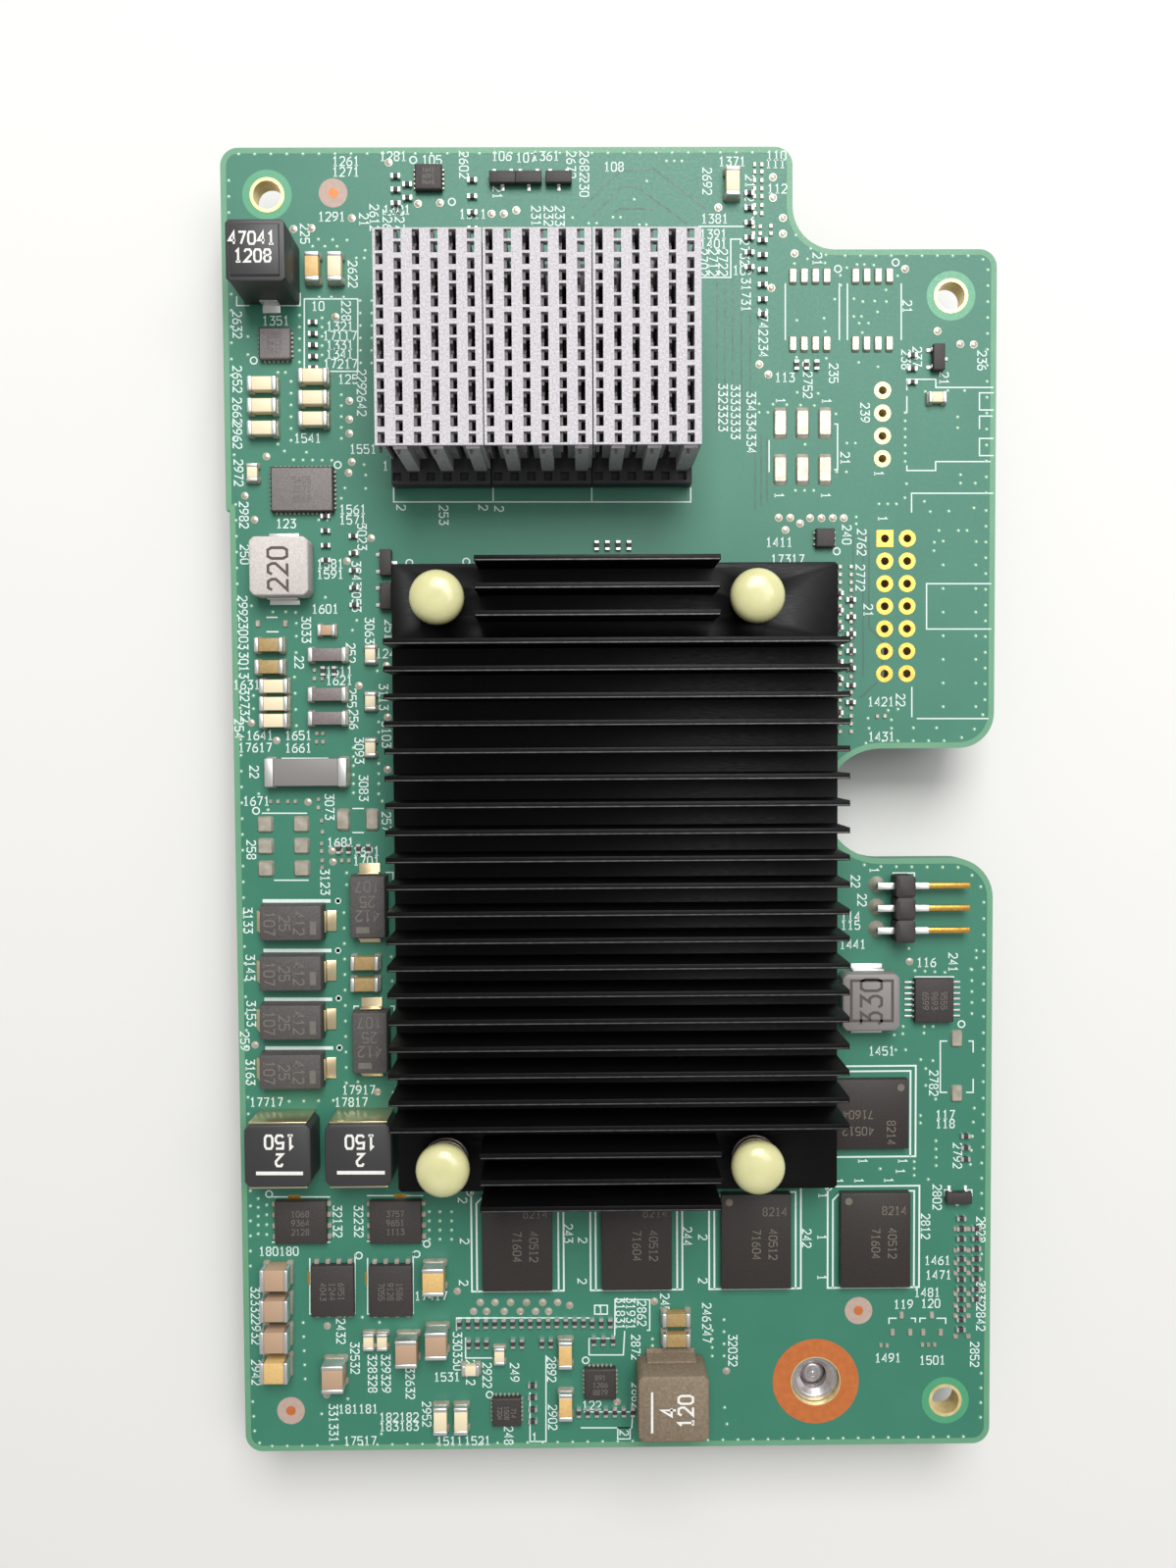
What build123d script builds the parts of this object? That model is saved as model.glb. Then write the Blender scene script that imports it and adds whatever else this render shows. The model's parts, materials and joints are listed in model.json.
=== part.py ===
"""Mezzanine network card, connector side up.

Millimetres, +Z up. The origin is under the middle of the board, at the level of the
captive screw's knob, which is the lowest point. +X is the card's right side and +Y its
connector end. Places on the board are shares of its width and length, from the lower
left corner.
"""
from build123d import *
import math
import os

# Board
board_width = 86.7
board_length = 148.1
board_thickness = 2.4
board_corner = 2.0
left_edge_step = 0.4
step_height_share = 0.73

# Upper right shoulder, and the notch in the right edge
shoulder_inset = 22.96
shoulder_drop = 11.3
shoulder_fillet = 4.8
notch_width = 12.55
notch_depth = 19.2
notch_middle_share = 0.504
notch_lip_above = 4.0
notch_lip_below = 4.6

# Mounting holes and unused plated rows
mount_hole_radius = 1.65
mount_hole_inset = 5.15
header_pitch = 2.54
plated_hole_radius = 0.6
plated_hole_sides = 8
plated_row_shares = [(0.856, 0.7065, 2, 7), (0.852, 0.818, 1, 4)]

# Mezzanine connector: three modules of six columns
module_count = 3
column_count = 6
column_pitch = 1.858
module_gap = 0.12
connector_height = 12.5
connector_depth = 21.8
connector_place_share = (0.410, 0.8312)
organiser_height = 2.0
organiser_front = 1.7
organiser_back = 0.5
organiser_window = 0.9
organiser_window_depth = 0.7
slot_width = 0.75
slot_long = 2.13
slot_short = 1.12
slot_end = 0.95
long_slot_count = 4
bar_narrow = 0.26
bar_wide = 0.53
first_slot_inset = 0.65
face_plate = 1.0
row_margin = 0.16
rib_width = 1.4
rib_depth = 1.1
rib_lip = 0.4
rib_proud = 0.25
wafer_thickness = 0.3
wafer_recess = 1.2

# Network processor under the heat sink
package_size = 33.0
package_height = 1.1
lid_size = 27.0
lid_height = 1.3
lid_lip = 0.8
thermal_pad_size = 26.0
thermal_pad_height = 0.2

# Heat sink: an extrusion between the block inductors, the memory row and the connector, with
# its fins cut away round the push pins
sink_block_gap = 0.74
sink_memory_gap = 2.19
sink_right_margin = 18.9
sink_top_margin = 46.8
sink_base = 2.4
fin_height = 6.0
fin_thickness = 0.62
fin_count = 25
fin_pin_clearance = 1.25
sink_edge = 0.3

# Push pins and their springs, in from the heat sink's corners
pin_inset_left = 5.36
pin_inset_right = 9.34
pin_inset_low = 3.82
pin_inset_high = 4.08
pin_sides = 12
pin_cap_radius = 2.9
pin_cap_rim = 0.5
pin_cap_crown = 1.5
pin_dome_shares = [(1.0, 0.0), (0.8, 0.44), (0.42, 0.86), (0.12, 1.0)]
pin_shank_radius = 1.5
pin_barb_tip_radius = 1.3
pin_barb_radius = 1.9
pin_barb_length = 2.6
pin_barb_land = 0.5
pin_spring_length = 3.3
pin_spring_turns = 3
pin_spring_wire = 0.42
pin_spring_radius = 2.3
pin_hole_clearance = 0.1

# Memory chips
memory_width = 8.0
memory_length = 11.0
memory_height = 1.1
memory_count = 4
memory_first_share = (0.3695, 0.1655)
memory_step_share = 0.158
memory_turned_share = (0.823, 0.2643)

# Tall inductor with a metal clip
tall_inductor_width = 6.3
tall_inductor_depth = 6.5
tall_inductor_height = 7.0
tall_inductor_share = (0.0635, 0.9058)
tall_inductor_edge = 0.35
tall_plateau_inset = 0.55
tall_plateau_height = 0.25
tall_clip_width = 2.0
tall_clip_thickness = 0.2
tall_clip_rise = 1.6
tall_clip_foot = 1.0

# Moulded inductors with a terminal at two opposite sides
square_inductor_share = (0.075, 0.6852)
square_inductor_width = 6.5
square_inductor_depth = 6.5
square_inductor_height = 3.0
square_inductor_terminal = 3.4
output_inductor_share = (0.5720, 0.0490)
output_inductor_width = 7.9
output_inductor_depth = 7.5
output_inductor_height = 5.0
output_inductor_terminal = 5.6
edge_inductor_gap = 1.16
edge_inductor_row_share = 0.3535
edge_inductor_width = 6.5
edge_inductor_depth = 6.5
edge_inductor_height = 2.6
edge_inductor_terminal = 3.6
moulded_chamfer = 0.5
moulded_terminal_reach = 0.75
moulded_terminal_thickness = 0.25
moulded_terminal_rise_share = 0.45

# Paired block inductors, each held by one strap
block_width = 7.35
block_depth = 7.0
block_height = 4.8
block_corner = 0.55
block_strap_thickness = 0.22
block_strap_width = 6.4
block_strap_rise_share = 0.94
block_count = 2
block_first_inset = 2.2
block_gap = 1.55
block_row_share = 0.2454

# Polymer capacitors: width along the terminals, depth, height
polymer_length = 7.2
polymer_width = 4.2
polymer_height = 1.9
polymer_draft = 0.16
polymer_foot_reach = 1.25
polymer_foot_width = 2.4
polymer_foot_thickness = 0.2
polymer_foot_rise_share = 0.55
polymer_flat_shares = [(0.080, 0.4167), (0.0788, 0.3782), (0.0778, 0.3405), (0.0767, 0.3026)]
polymer_upright_shares = [(0.180, 0.4283), (0.1806, 0.3244)]

# Chip parts in four sizes, each with a metal cap on both ends
large_chip_length = 3.2
large_chip_width = 2.5
large_chip_height = 2.5
large_chip_end = 0.5
medium_chip_length = 3.2
medium_chip_width = 1.6
medium_chip_height = 1.4
medium_chip_end = 0.5
output_pair_offset = 0.63
output_pair_gap = 0.59
output_pair_spacing = 0.8
small_chip_length = 2.0
small_chip_width = 1.25
small_chip_height = 0.9
small_chip_end = 0.4
bead_length = 4.3
bead_width = 1.55
bead_height = 1.3
bead_end = 0.55
chip_cap_wall = 0.06
large_flat_shares = [(0.0525, 0.1425), (0.0518, 0.1187), (0.0510, 0.0942), (0.0503, 0.0703)]
large_upright_shares = [(0.2600, 0.1400), (0.2625, 0.0903), (0.2235, 0.0842), (0.1268, 0.0650)]
medium_flat_shares = [
    (0.0522, 0.8229), (0.0518, 0.8066), (0.0514, 0.7899), (0.1175, 0.8286), (0.1171, 0.8123),
    (0.1167, 0.7966), (0.0556, 0.6276), (0.0558, 0.6110), (0.1739, 0.3847), (0.1735, 0.3683),
    (0.0611, 0.5965), (0.0609, 0.5832), (0.0604, 0.5704),
]
medium_upright_shares = [
    (0.1183, 0.9092), (0.1471, 0.9092), (0.6566, 0.9712), (0.4322, 0.0780), (0.4320, 0.0370),
    (0.2658, 0.0270), (0.2931, 0.0270),
]
small_flat_shares = [(0.1291, 0.6387), (0.9215, 0.8118), (0.3060, 0.0650)]
small_upright_shares = [
    (0.0367, 0.7575), (0.1855, 0.6202), (0.1848, 0.5847), (0.1840, 0.5494), (0.1712, 0.0884),
    (0.1893, 0.0883), (0.3445, 0.0760),
]
bead_shares = [(0.1306, 0.6200), (0.1298, 0.5900), (0.1294, 0.5719)]

# Long ferrite on the left side
ferrite_length = 9.2
ferrite_width = 3.2
ferrite_height = 1.6
ferrite_end = 1.0
ferrite_share = (0.1016, 0.5310)

# Smallest chip parts in rows: first place, step, count, and 1 if they stand upright
tiny_length = 1.0
tiny_width = 0.5
tiny_height = 0.4
tiny_row_shares = [
    (0.2913, 0.1005, 0.0118, 0.0, 15, 1), (0.4680, 0.1000, 0.0120, 0.0, 3, 1),
    (0.3035, 0.0845, 0.0118, 0.0, 3, 1), (0.3625, 0.0845, 0.0118, 0.0, 2, 1),
    (0.4010, 0.0845, 0.0118, 0.0, 2, 1), (0.4700, 0.0860, 0.0128, 0.0, 3, 1),
    (0.3880, 0.0510, 0.0, -0.0095, 4, 0), (0.4495, 0.0290, 0.0120, 0.0, 7, 1),
    (0.9600, 0.1800, 0.0, -0.0080, 12, 0), (0.9800, 0.1720, 0.0, -0.0080, 8, 0),
    (0.1165, 0.8700, 0.0, -0.0085, 5, 0), (0.2250, 0.9780, 0.0, -0.0100, 3, 0),
    (0.2400, 0.9720, 0.0, -0.0100, 2, 0), (0.3230, 0.9750, 0.0, -0.0120, 4, 0),
    (0.6790, 0.9650, 0.0, -0.0110, 6, 0), (0.6960, 0.9300, 0.0, -0.0110, 6, 0),
    (0.7950, 0.6650, 0.0, -0.0130, 8, 0), (0.8110, 0.6600, 0.0, -0.0130, 7, 0),
    (0.4800, 0.7020, 0.0140, 0.0, 4, 1), (0.1290, 0.7250, 0.0, -0.0110, 4, 0),
    (0.1650, 0.7100, 0.0, -0.0130, 5, 0), (0.1230, 0.6080, 0.0145, 0.0, 2, 1),
    (0.1400, 0.4720, 0.0130, 0.0, 4, 1), (0.9650, 0.2450, 0.0, -0.0090, 3, 0),
    (0.8900, 0.8440, 0.0, -0.0100, 3, 0), (0.7400, 0.8370, 0.0130, 0.0, 3, 1),
]

# Controllers without visible legs, from the upper left to the lower right
controller_height = 0.9
controller_edge = 0.12
upper_controller_size = 3.5
wide_controller_width = 7.0
wide_controller_depth = 5.0
corner_controller_width = 3.0
corner_controller_depth = 2.8
regulator_size = 3.6
lower_controller_size = 3.3
right_controller_size = 2.1
upper_controller_share = (0.0682, 0.8535)
wide_controller_share = (0.1006, 0.7447)
corner_controller_share = (0.2676, 0.9760)
regulator_share = (0.4782, 0.0532)
lower_controller_share = (0.3536, 0.0318)
right_controller_share = (0.7764, 0.7065)

# Power transistors: flat ones have their leads on the left and right
power_length = 5.9
power_width = 4.9
power_height = 1.0
power_lead_width = 0.45
power_lead_reach = 0.3
power_lead_thickness = 0.25
power_lead_pitch = 1.27
power_lead_count = 4
power_flat_shares = [(0.0845, 0.1835), (0.2094, 0.1830)]
power_upright_shares = [(0.1250, 0.1295), (0.2018, 0.1290)]

# Small transistors: place, and 1 where the legs are at the left and right
transistor_length = 2.9
transistor_width = 1.3
transistor_height = 1.0
transistor_leg_width = 0.4
transistor_leg_reach = 0.55
transistor_leg_thickness = 0.12
transistor_standoff = 0.1
transistor_leg_spread = 0.95
transistor_flat_shares = [(0.3620, 0.9755), (0.3955, 0.9755), (0.4340, 0.9755), (0.9548, 0.1975)]
transistor_upright_shares = [(0.2070, 0.6895), (0.2064, 0.6642), (0.9227, 0.8415)]

# Management chip with legs along both sides
management_width = 4.4
management_depth = 5.0
management_height = 1.0
management_share = (0.9203, 0.3522)
management_leg_count = 7
management_leg_pitch = 0.65
management_leg_width = 0.25
management_leg_reach = 1.0
management_leg_thickness = 0.15
management_standoff = 0.1

# Right-angle pin row
row_body_width = 2.2
row_body_height = 2.5
row_pin_count = 3
row_pin_size = 0.64
row_pin_level = 1.27
row_pin_reach = 6.4
row_tail_reach = 1.9
row_place_share = (0.8779, 0.4243)

# Captive screw: a pressed ferrule, a return spring and a screw with a many-sided knob
captive_share = (0.7666, 0.0511)
ferrule_radius = 2.9
ferrule_recess = 0.7
ferrule_spigot_gap = 0.15
ferrule_bevel = 0.6
ferrule_flange_rim = 0.5
ferrule_flange = 0.8
ferrule_barrel_step = 0.5
ferrule_barrel = 1.4
ferrule_lip = 0.45
ferrule_sides = 16
screw_radius = 1.45
screw_neck_radius = 1.0
screw_fit = 0.07
screw_tip_recess = 1.8
screw_stroke = 4.0
screw_tip_chamfer = 0.5
knob_clearance = 0.3
knob_wall = 0.9
knob_floor = 1.6
knob_sides = 16
knob_gap = 0.15
knob_slot_width = 1.1
knob_slot_depth = 0.8
return_spring_wire = 0.4
return_spring_turns = 4
contact_gap = 0.02

# Decoupling parts on the underside, below the processor
under_columns = 4
under_rows = 4
under_pitch = 3.2

# Cutting tools run past what they cut by this much
overrun = 0.5
# A spring turn is made of this many straight runs
coil_runs = 8

knob_reach = knob_floor + screw_stroke + ferrule_barrel + ferrule_flange + 2 * knob_gap
board_bottom = knob_reach
board_top = board_bottom + board_thickness
half_width = board_width / 2
half_length = board_length / 2
block_step = block_width + block_gap
sink_left = -half_width + block_first_inset + block_count * block_step - block_gap + sink_block_gap
sink_right = half_width - sink_right_margin
sink_low = (memory_first_share[1] - 0.5) * board_length + memory_length / 2 + sink_memory_gap
sink_high = half_length - sink_top_margin
pin_left, pin_right = sink_left + pin_inset_left, sink_right - pin_inset_right
pin_low, pin_high = sink_low + pin_inset_low, sink_high - pin_inset_high
processor_middle = ((pin_left + pin_right) / 2, (pin_low + pin_high) / 2)
ON_FLOOR = (Align.CENTER, Align.CENTER, Align.MIN)
pieces = {}


def place(share):
    """A share pair as a point of the board's plan."""
    return (share[0] - 0.5) * board_width, (share[1] - 0.5) * board_length


def places(shares):
    return [place(share) for share in shares]


def block(width, depth, height, x=0.0, y=0.0, z=0.0):
    """A box standing on level z, centred on x and y."""
    return Pos(x, y, z) * Box(width, depth, height, align=ON_FLOOR)


def disc(radius, height, x=0.0, y=0.0, z=0.0):
    """A cylinder standing on level z."""
    return Pos(x, y, z) * Cylinder(radius, height, align=ON_FLOOR)


def spin(points):
    """A solid of revolution about Z from (radius, level) points."""
    return revolve(make_face(Polyline(*[(r, 0, z) for r, z in points], close=True)), Axis.Z)


def turned(points, sides):
    """A many-sided post about Z from (radius, level) points going up."""
    post = []
    for (low_radius, low), (high_radius, high) in zip(points, points[1:]):
        foot = Pos(0, 0, low) * RegularPolygon(low_radius, sides)
        if high > low and low_radius == high_radius:
            post.append(extrude(foot, high - low))
        elif high > low:
            head = Pos(0, 0, high) * RegularPolygon(high_radius, sides)
            post.append(loft([foot, head], ruled=True))
    return post[0] + post[1:] if len(post) > 1 else post[0]


def keep(name, shapes):
    """Files one node: a solid, or a group of separate solids."""
    solids = [s for shape in shapes for s in shape.solids()]
    pieces[name] = solids[0] if len(solids) == 1 else Compound(children=solids)


def pin_places():
    for x in (pin_left, pin_right):
        for y in (pin_low, pin_high):
            yield x, y


def mount_places():
    shoulder_y = half_length - shoulder_drop
    yield -half_width + mount_hole_inset, half_length - mount_hole_inset
    yield half_width - mount_hole_inset, shoulder_y - mount_hole_inset
    yield half_width - mount_hole_inset, -half_length + mount_hole_inset


def board_plan():
    """The board's outline: shoulder at the upper right, U notch in the right edge."""
    step_y = (step_height_share - 0.5) * board_length
    inner_left = -half_width + left_edge_step
    shoulder_x = half_width - shoulder_inset
    shoulder_y = half_length - shoulder_drop
    notch_y = (notch_middle_share - 0.5) * board_length
    notch_radius = notch_width / 2
    notch_x = half_width - notch_depth + notch_radius
    top_y, low_y = notch_y + notch_radius, notch_y - notch_radius
    outline = Polyline(
        (inner_left, -half_length), (half_width, -half_length), (half_width, low_y),
        (notch_x, low_y), (notch_x, top_y), (half_width, top_y), (half_width, shoulder_y),
        (shoulder_x, shoulder_y), (shoulder_x, half_length), (-half_width, half_length),
        (-half_width, step_y), (inner_left, step_y), close=True,
    )
    plan = make_face(outline) - Pos(notch_x, notch_y) * Circle(notch_radius)

    def corners(*spots):
        return [
            v for v in plan.vertices()
            if any(math.hypot(v.X - x, v.Y - y) < overrun / 2 for x, y in spots)
        ]

    plan = fillet(corners((shoulder_x, shoulder_y)), shoulder_fillet)
    plan = fillet(corners((half_width, top_y)), notch_lip_above)
    plan = fillet(corners((half_width, low_y)), notch_lip_below)
    outer = [
        (inner_left, -half_length), (half_width, -half_length), (half_width, shoulder_y),
        (shoulder_x, half_length), (-half_width, half_length),
    ]
    return fillet(corners(*outer), board_corner)


def circuit_board():
    board = extrude(board_plan(), board_thickness)
    cuts = [disc(mount_hole_radius, board_thickness, x, y) for x, y in mount_places()]
    cuts.append(disc(ferrule_radius, board_thickness, *place(captive_share)))
    pin_hole_radius = pin_shank_radius + pin_hole_clearance
    pin_hole = turned([(pin_hole_radius, 0), (pin_hole_radius, board_thickness)], pin_sides)
    cuts += [Pos(x, y) * pin_hole for x, y in pin_places()]
    plated = [(plated_hole_radius, 0), (plated_hole_radius, board_thickness)]
    plated_hole = turned(plated, plated_hole_sides)
    for sx, sy, columns, rows in plated_row_shares:
        x0, y0 = place((sx, sy))
        for i in range(columns):
            for j in range(rows):
                x, y = x0 + i * header_pitch, y0 - j * header_pitch
                cuts.append(Pos(x, y) * plated_hole)
    keep("circuit_board", [Pos(0, 0, board_bottom) * (board - cuts)])


def slot_rows(odd):
    """Start and length of each opening of one column, from the connector's back edge."""
    period = [(slot_long, bar_narrow), (slot_short, bar_wide), (slot_short, bar_narrow)]
    if odd:
        sequence = period * long_slot_count
    else:
        end = [(slot_end, bar_narrow)]
        sequence = end + period[1:] + period * (long_slot_count - 1) + end
    at = row_margin
    for length, bar in sequence:
        yield at, length
        at += length + bar


def connector_modules():
    cx, cy = place(connector_place_share)
    back = cy + connector_depth / 2
    front = cy - connector_depth / 2
    pitch = column_count * column_pitch
    width = pitch - module_gap
    housing_height = connector_height - organiser_height
    level = board_top + organiser_height
    face_level = board_top + connector_height - face_plate
    groove_length = connector_depth - 2 * row_margin
    for module in range(module_count):
        mid = cx + (module - (module_count - 1) / 2) * pitch
        left = mid - width / 2
        columns = [left + first_slot_inset + k * column_pitch for k in range(column_count)]
        housing = block(width, connector_depth, housing_height, mid, cy, level)
        cuts = []
        wafers = []
        for k, x in enumerate(columns):
            odd = k % 2 == 0
            cuts.append(block(slot_width, groove_length, housing_height - face_plate, x, cy, level))
            for start, length in slot_rows(odd):
                y = back - start - length / 2
                cuts.append(block(slot_width, length, face_plate, x, y, face_level))
            wafers.append(wafer(x, back, odd))
        housing -= cuts
        housing -= side_recesses(columns[0::2], left, left + width, front)
        housing -= side_recesses(columns[1::2], left, left + width, back)
        housing += [rib_nose(x, front, level) for x in columns[1::2]]
        keep(f"connector_housing_{module + 1}", [housing])
        keep(f"connector_organiser_{module + 1}", [organiser(mid, width, front, back, columns)])
        keep(f"connector_wafers_{module + 1}", wafers)


def side_recesses(columns, left, right, edge):
    """Recesses of one long side, round every second column, under the face's lip."""
    height = connector_height - organiser_height - rib_lip
    reach = column_pitch - rib_width / 2
    cutters = []
    for x in columns:
        start, stop = max(x - reach, left), min(x + reach, right)
        cutters.append(block(stop - start, 2 * rib_depth, height, (start + stop) / 2, edge,
                             board_top + organiser_height))
    return cutters


def rib_nose(x, front, level):
    """The rib in front of a column stands a little proud, with a sloped top."""
    high = board_top + connector_height
    side, nose = x - rib_width / 2, front - rib_proud
    outline = Polyline(
        (side, front, level), (side, nose, level),
        (side, nose, high - 2 * rib_proud), (side, front, high - rib_proud), close=True,
    )
    return extrude(make_face(outline), rib_width, dir=(1, 0, 0))


def organiser(mid, width, front, back, columns):
    """Black seat of one module, with a row of small windows along its front."""
    low, high = front - organiser_front, back + organiser_back
    seat = block(width, high - low, organiser_height, mid, (low + high) / 2, board_top)
    window = organiser_window
    y = low + organiser_front / 2
    level = board_top + organiser_height - organiser_window_depth
    return seat - [block(window, window, organiser_window_depth, x, y, level) for x in columns]


def wafer(x, back, odd):
    """Contact blade of one column, against the left wall of its groove."""
    low = board_top + organiser_height
    height = connector_height - organiser_height - wafer_recess
    front_inset, back_inset = (rib_depth, row_margin) if odd else (row_margin, rib_depth)
    length = connector_depth - front_inset - back_inset
    y = back - back_inset - length / 2
    return block(wafer_thickness, length, height, x - (slot_width - wafer_thickness) / 2, y, low)


def processor():
    x, y = processor_middle
    package = block(package_size, package_size, package_height, x, y, board_top)
    level = board_top + package_height
    brim = package_size - 2 * lid_lip
    lid = block(brim, brim, lid_height / 2, x, y, level)
    lid += block(lid_size, lid_size, lid_height / 2, x, y, level + lid_height / 2)
    keep("network_processor", [package])
    keep("processor_lid", [lid])
    pad = block(thermal_pad_size, thermal_pad_size, thermal_pad_height, x, y, level + lid_height)
    keep("thermal_pad", [pad])


def heat_sink():
    width, length = sink_right - sink_left, sink_high - sink_low
    x, y = (sink_left + sink_right) / 2, (sink_low + sink_high) / 2
    low = board_top + package_height + lid_height + thermal_pad_height
    base = block(width, length, sink_base, x, y, low)
    base = chamfer(base.edges().filter_by(Axis.Z), sink_edge)
    pitch = (length - fin_thickness) / (fin_count - 1)
    keep_off = pin_cap_radius + fin_pin_clearance
    short_left, short_right = pin_left + keep_off, pin_right - keep_off
    fins = []
    for k in range(fin_count):
        fin_y = sink_low + fin_thickness / 2 + k * pitch
        if fin_y < pin_low + pin_cap_radius or fin_y > pin_high - pin_cap_radius:
            fin_x, run = (short_left + short_right) / 2, short_right - short_left
        else:
            fin_x, run = x, width
        fins.append(block(run, fin_thickness, fin_height, fin_x, fin_y, low + sink_base))
    sink = base + fins
    hole = pin_shank_radius + 2 * pin_hole_clearance
    bore = turned([(hole, low), (hole, low + sink_base)], pin_sides)
    sink -= [Pos(px, py) * bore for px, py in pin_places()]
    keep("heat_sink", [sink])
    return low + sink_base


def coil(x, y, low, length, turns, radius, wire):
    """Coil spring of short straight runs with a square section, standing on level low."""
    rise = length - wire
    count = turns * coil_runs
    points = []
    for k in range(count + 1):
        turn = 2 * math.pi * k / coil_runs
        level = low + wire / 2 + rise * k / count
        points.append((x + radius * math.cos(turn), y + radius * math.sin(turn), level))
    path = Polyline(*points)
    section = Plane(path @ 0, x_dir=(1, 0, 0), z_dir=path % 0) * Rectangle(wire, wire)
    return sweep(section, path=path, transition=Transition.RIGHT)


def push_pins(seat):
    cap_level = seat + pin_spring_length + contact_gap * 2
    rim = cap_level + pin_cap_rim
    profile = [
        (pin_barb_tip_radius, board_bottom - pin_barb_length),
        (pin_barb_radius, board_bottom - pin_barb_land), (pin_barb_radius, board_bottom),
        (pin_shank_radius, board_bottom), (pin_shank_radius, cap_level),
        (pin_cap_radius, cap_level),
    ]
    profile += [(r * pin_cap_radius, rim + z * pin_cap_crown) for r, z in pin_dome_shares]
    pin = turned(profile, pin_sides)
    spring = coil(0, 0, seat + contact_gap, pin_spring_length, pin_spring_turns,
                  pin_spring_radius, pin_spring_wire)
    keep("push_pins", [Pos(x, y) * pin for x, y in pin_places()])
    keep("push_pin_springs", [Pos(x, y) * spring for x, y in pin_places()])


def memory_chips():
    x0, y0 = place(memory_first_share)
    for k in range(memory_count):
        x = x0 + k * memory_step_share * board_width
        chip = block(memory_width, memory_length, memory_height, x, y0, board_top)
        keep(f"memory_chip_{k + 1}", [chip])
    x, y = place(memory_turned_share)
    turned = block(memory_length, memory_width, memory_height, x, y, board_top)
    keep(f"memory_chip_{memory_count + 1}", [turned])


def tall_inductor():
    x, y = place(tall_inductor_share)
    width, depth = tall_inductor_width, tall_inductor_depth
    height = tall_inductor_height - tall_plateau_height
    body = block(width, depth, height, x, y, board_top)
    body = chamfer(body.edges().filter_by(Axis.Z), tall_inductor_edge)
    inset = 2 * tall_plateau_inset
    body += block(width - inset, depth - inset, tall_plateau_height, x, y, board_top + height)
    keep("tall_inductor", [body])
    feet = []
    thick = tall_clip_thickness
    for side in (-1, 1):
        edge = y + side * depth / 2
        upright = block(tall_clip_width, thick, tall_clip_rise, x, edge + side * thick / 2, board_top)
        foot = block(tall_clip_width, tall_clip_foot, thick, x, edge + side * tall_clip_foot / 2, board_top)
        feet.append(upright + foot)
    keep("tall_inductor_terminals", feet)


def moulded_inductor(name, x, y, width, depth, height, terminal):
    body = block(width, depth, height, x, y, board_top)
    body = chamfer(body.edges().filter_by(Axis.Z), moulded_chamfer)
    keep(name, [body])
    feet = []
    thick = moulded_terminal_thickness
    reach = moulded_terminal_reach
    rise = height * moulded_terminal_rise_share
    for side in (-1, 1):
        edge = y + side * depth / 2
        upright = block(terminal, thick, rise, x, edge + side * thick / 2, board_top)
        foot = block(terminal, reach, thick, x, edge + side * reach / 2, board_top)
        feet.append(upright + foot)
    keep(name + "_terminals", feet)


def edge_inductor_place():
    """The edge inductor stands next to the management chip's left legs."""
    x, y = place((management_share[0], edge_inductor_row_share))
    reach = management_width / 2 + management_leg_reach + edge_inductor_gap
    return x - reach - edge_inductor_width / 2, y


def block_inductors():
    straps = []
    low = board_top + block_strap_thickness
    y = (block_row_share - 0.5) * board_length
    for number in range(block_count):
        x = -half_width + block_first_inset + block_width / 2 + number * block_step
        body = block(block_width, block_depth, block_height, x, y, low)
        body = chamfer(body.edges().filter_by(Axis.Z), block_corner)
        keep(f"block_inductor_{number + 1}", [body])
        outer = block_depth + 2 * block_strap_thickness
        rise = block_strap_thickness + block_height * block_strap_rise_share
        strap = block(block_strap_width, outer, rise, x, y, board_top)
        strap -= block(block_strap_width, block_depth, rise, x, y, low)
        straps.append(strap)
    keep("block_inductor_straps", straps)


def polymer_capacitors():
    bodies, feet = [], []
    turns = [(share, 0) for share in polymer_flat_shares] + [(share, 90) for share in polymer_upright_shares]
    draft = 2 * polymer_draft
    thick = polymer_foot_thickness
    for share, turn in turns:
        x, y = place(share)
        lower = Rectangle(polymer_length, polymer_width)
        upper = Pos(0, 0, polymer_height) * Rectangle(polymer_length - draft, polymer_width - draft)
        at = Pos(x, y, board_top) * Rot(0, 0, turn)
        bodies.append(at * loft([lower, upper]))
        for side in (-1, 1):
            edge = side * polymer_length / 2
            reach = polymer_foot_reach if side > 0 else polymer_foot_reach / 2
            foot = block(reach, polymer_foot_width, thick, edge + side * reach / 2, 0, 0)
            upright = block(thick, polymer_foot_width, polymer_height * polymer_foot_rise_share,
                            edge + side * thick / 2, 0, 0)
            feet.append(at * (foot + upright))
    keep("polymer_capacitors", bodies)
    keep("polymer_capacitor_terminals", feet)


def chip_part(size, x, y, turn):
    """Body and two end caps of a chip part lying on the board."""
    length, width, height, end = size
    at = Pos(x, y, board_top) * Rot(0, 0, turn)
    wall = 2 * chip_cap_wall
    body = at * block(length - 2 * end, width - wall, height - chip_cap_wall)
    ends = [at * block(end, width, height, side * (length - end) / 2) for side in (-1, 1)]
    return body, ends


def output_pair():
    """Two capacitors next to the output inductor's upper terminal."""
    x, y = place(output_inductor_share)
    y += output_inductor_depth / 2 + moulded_terminal_reach + output_pair_gap + medium_chip_width / 2
    for k in (0, 1):
        yield x + output_pair_offset, y + k * (medium_chip_width + output_pair_spacing)


def chip_group(name, size, flat, upright):
    bodies, ends = [], []
    for points, turn in ((flat, 0), (upright, 90)):
        for point in points:
            body, pair = chip_part(size, *point, turn)
            bodies.append(body)
            ends += pair
    keep(name, bodies)
    keep(name + "_end_caps", ends)


def long_ferrite():
    size = (ferrite_length, ferrite_width, ferrite_height, ferrite_end)
    body, ends = chip_part(size, *place(ferrite_share), 0)
    keep("long_ferrite", [body])
    keep("long_ferrite_end_caps", ends)


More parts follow.
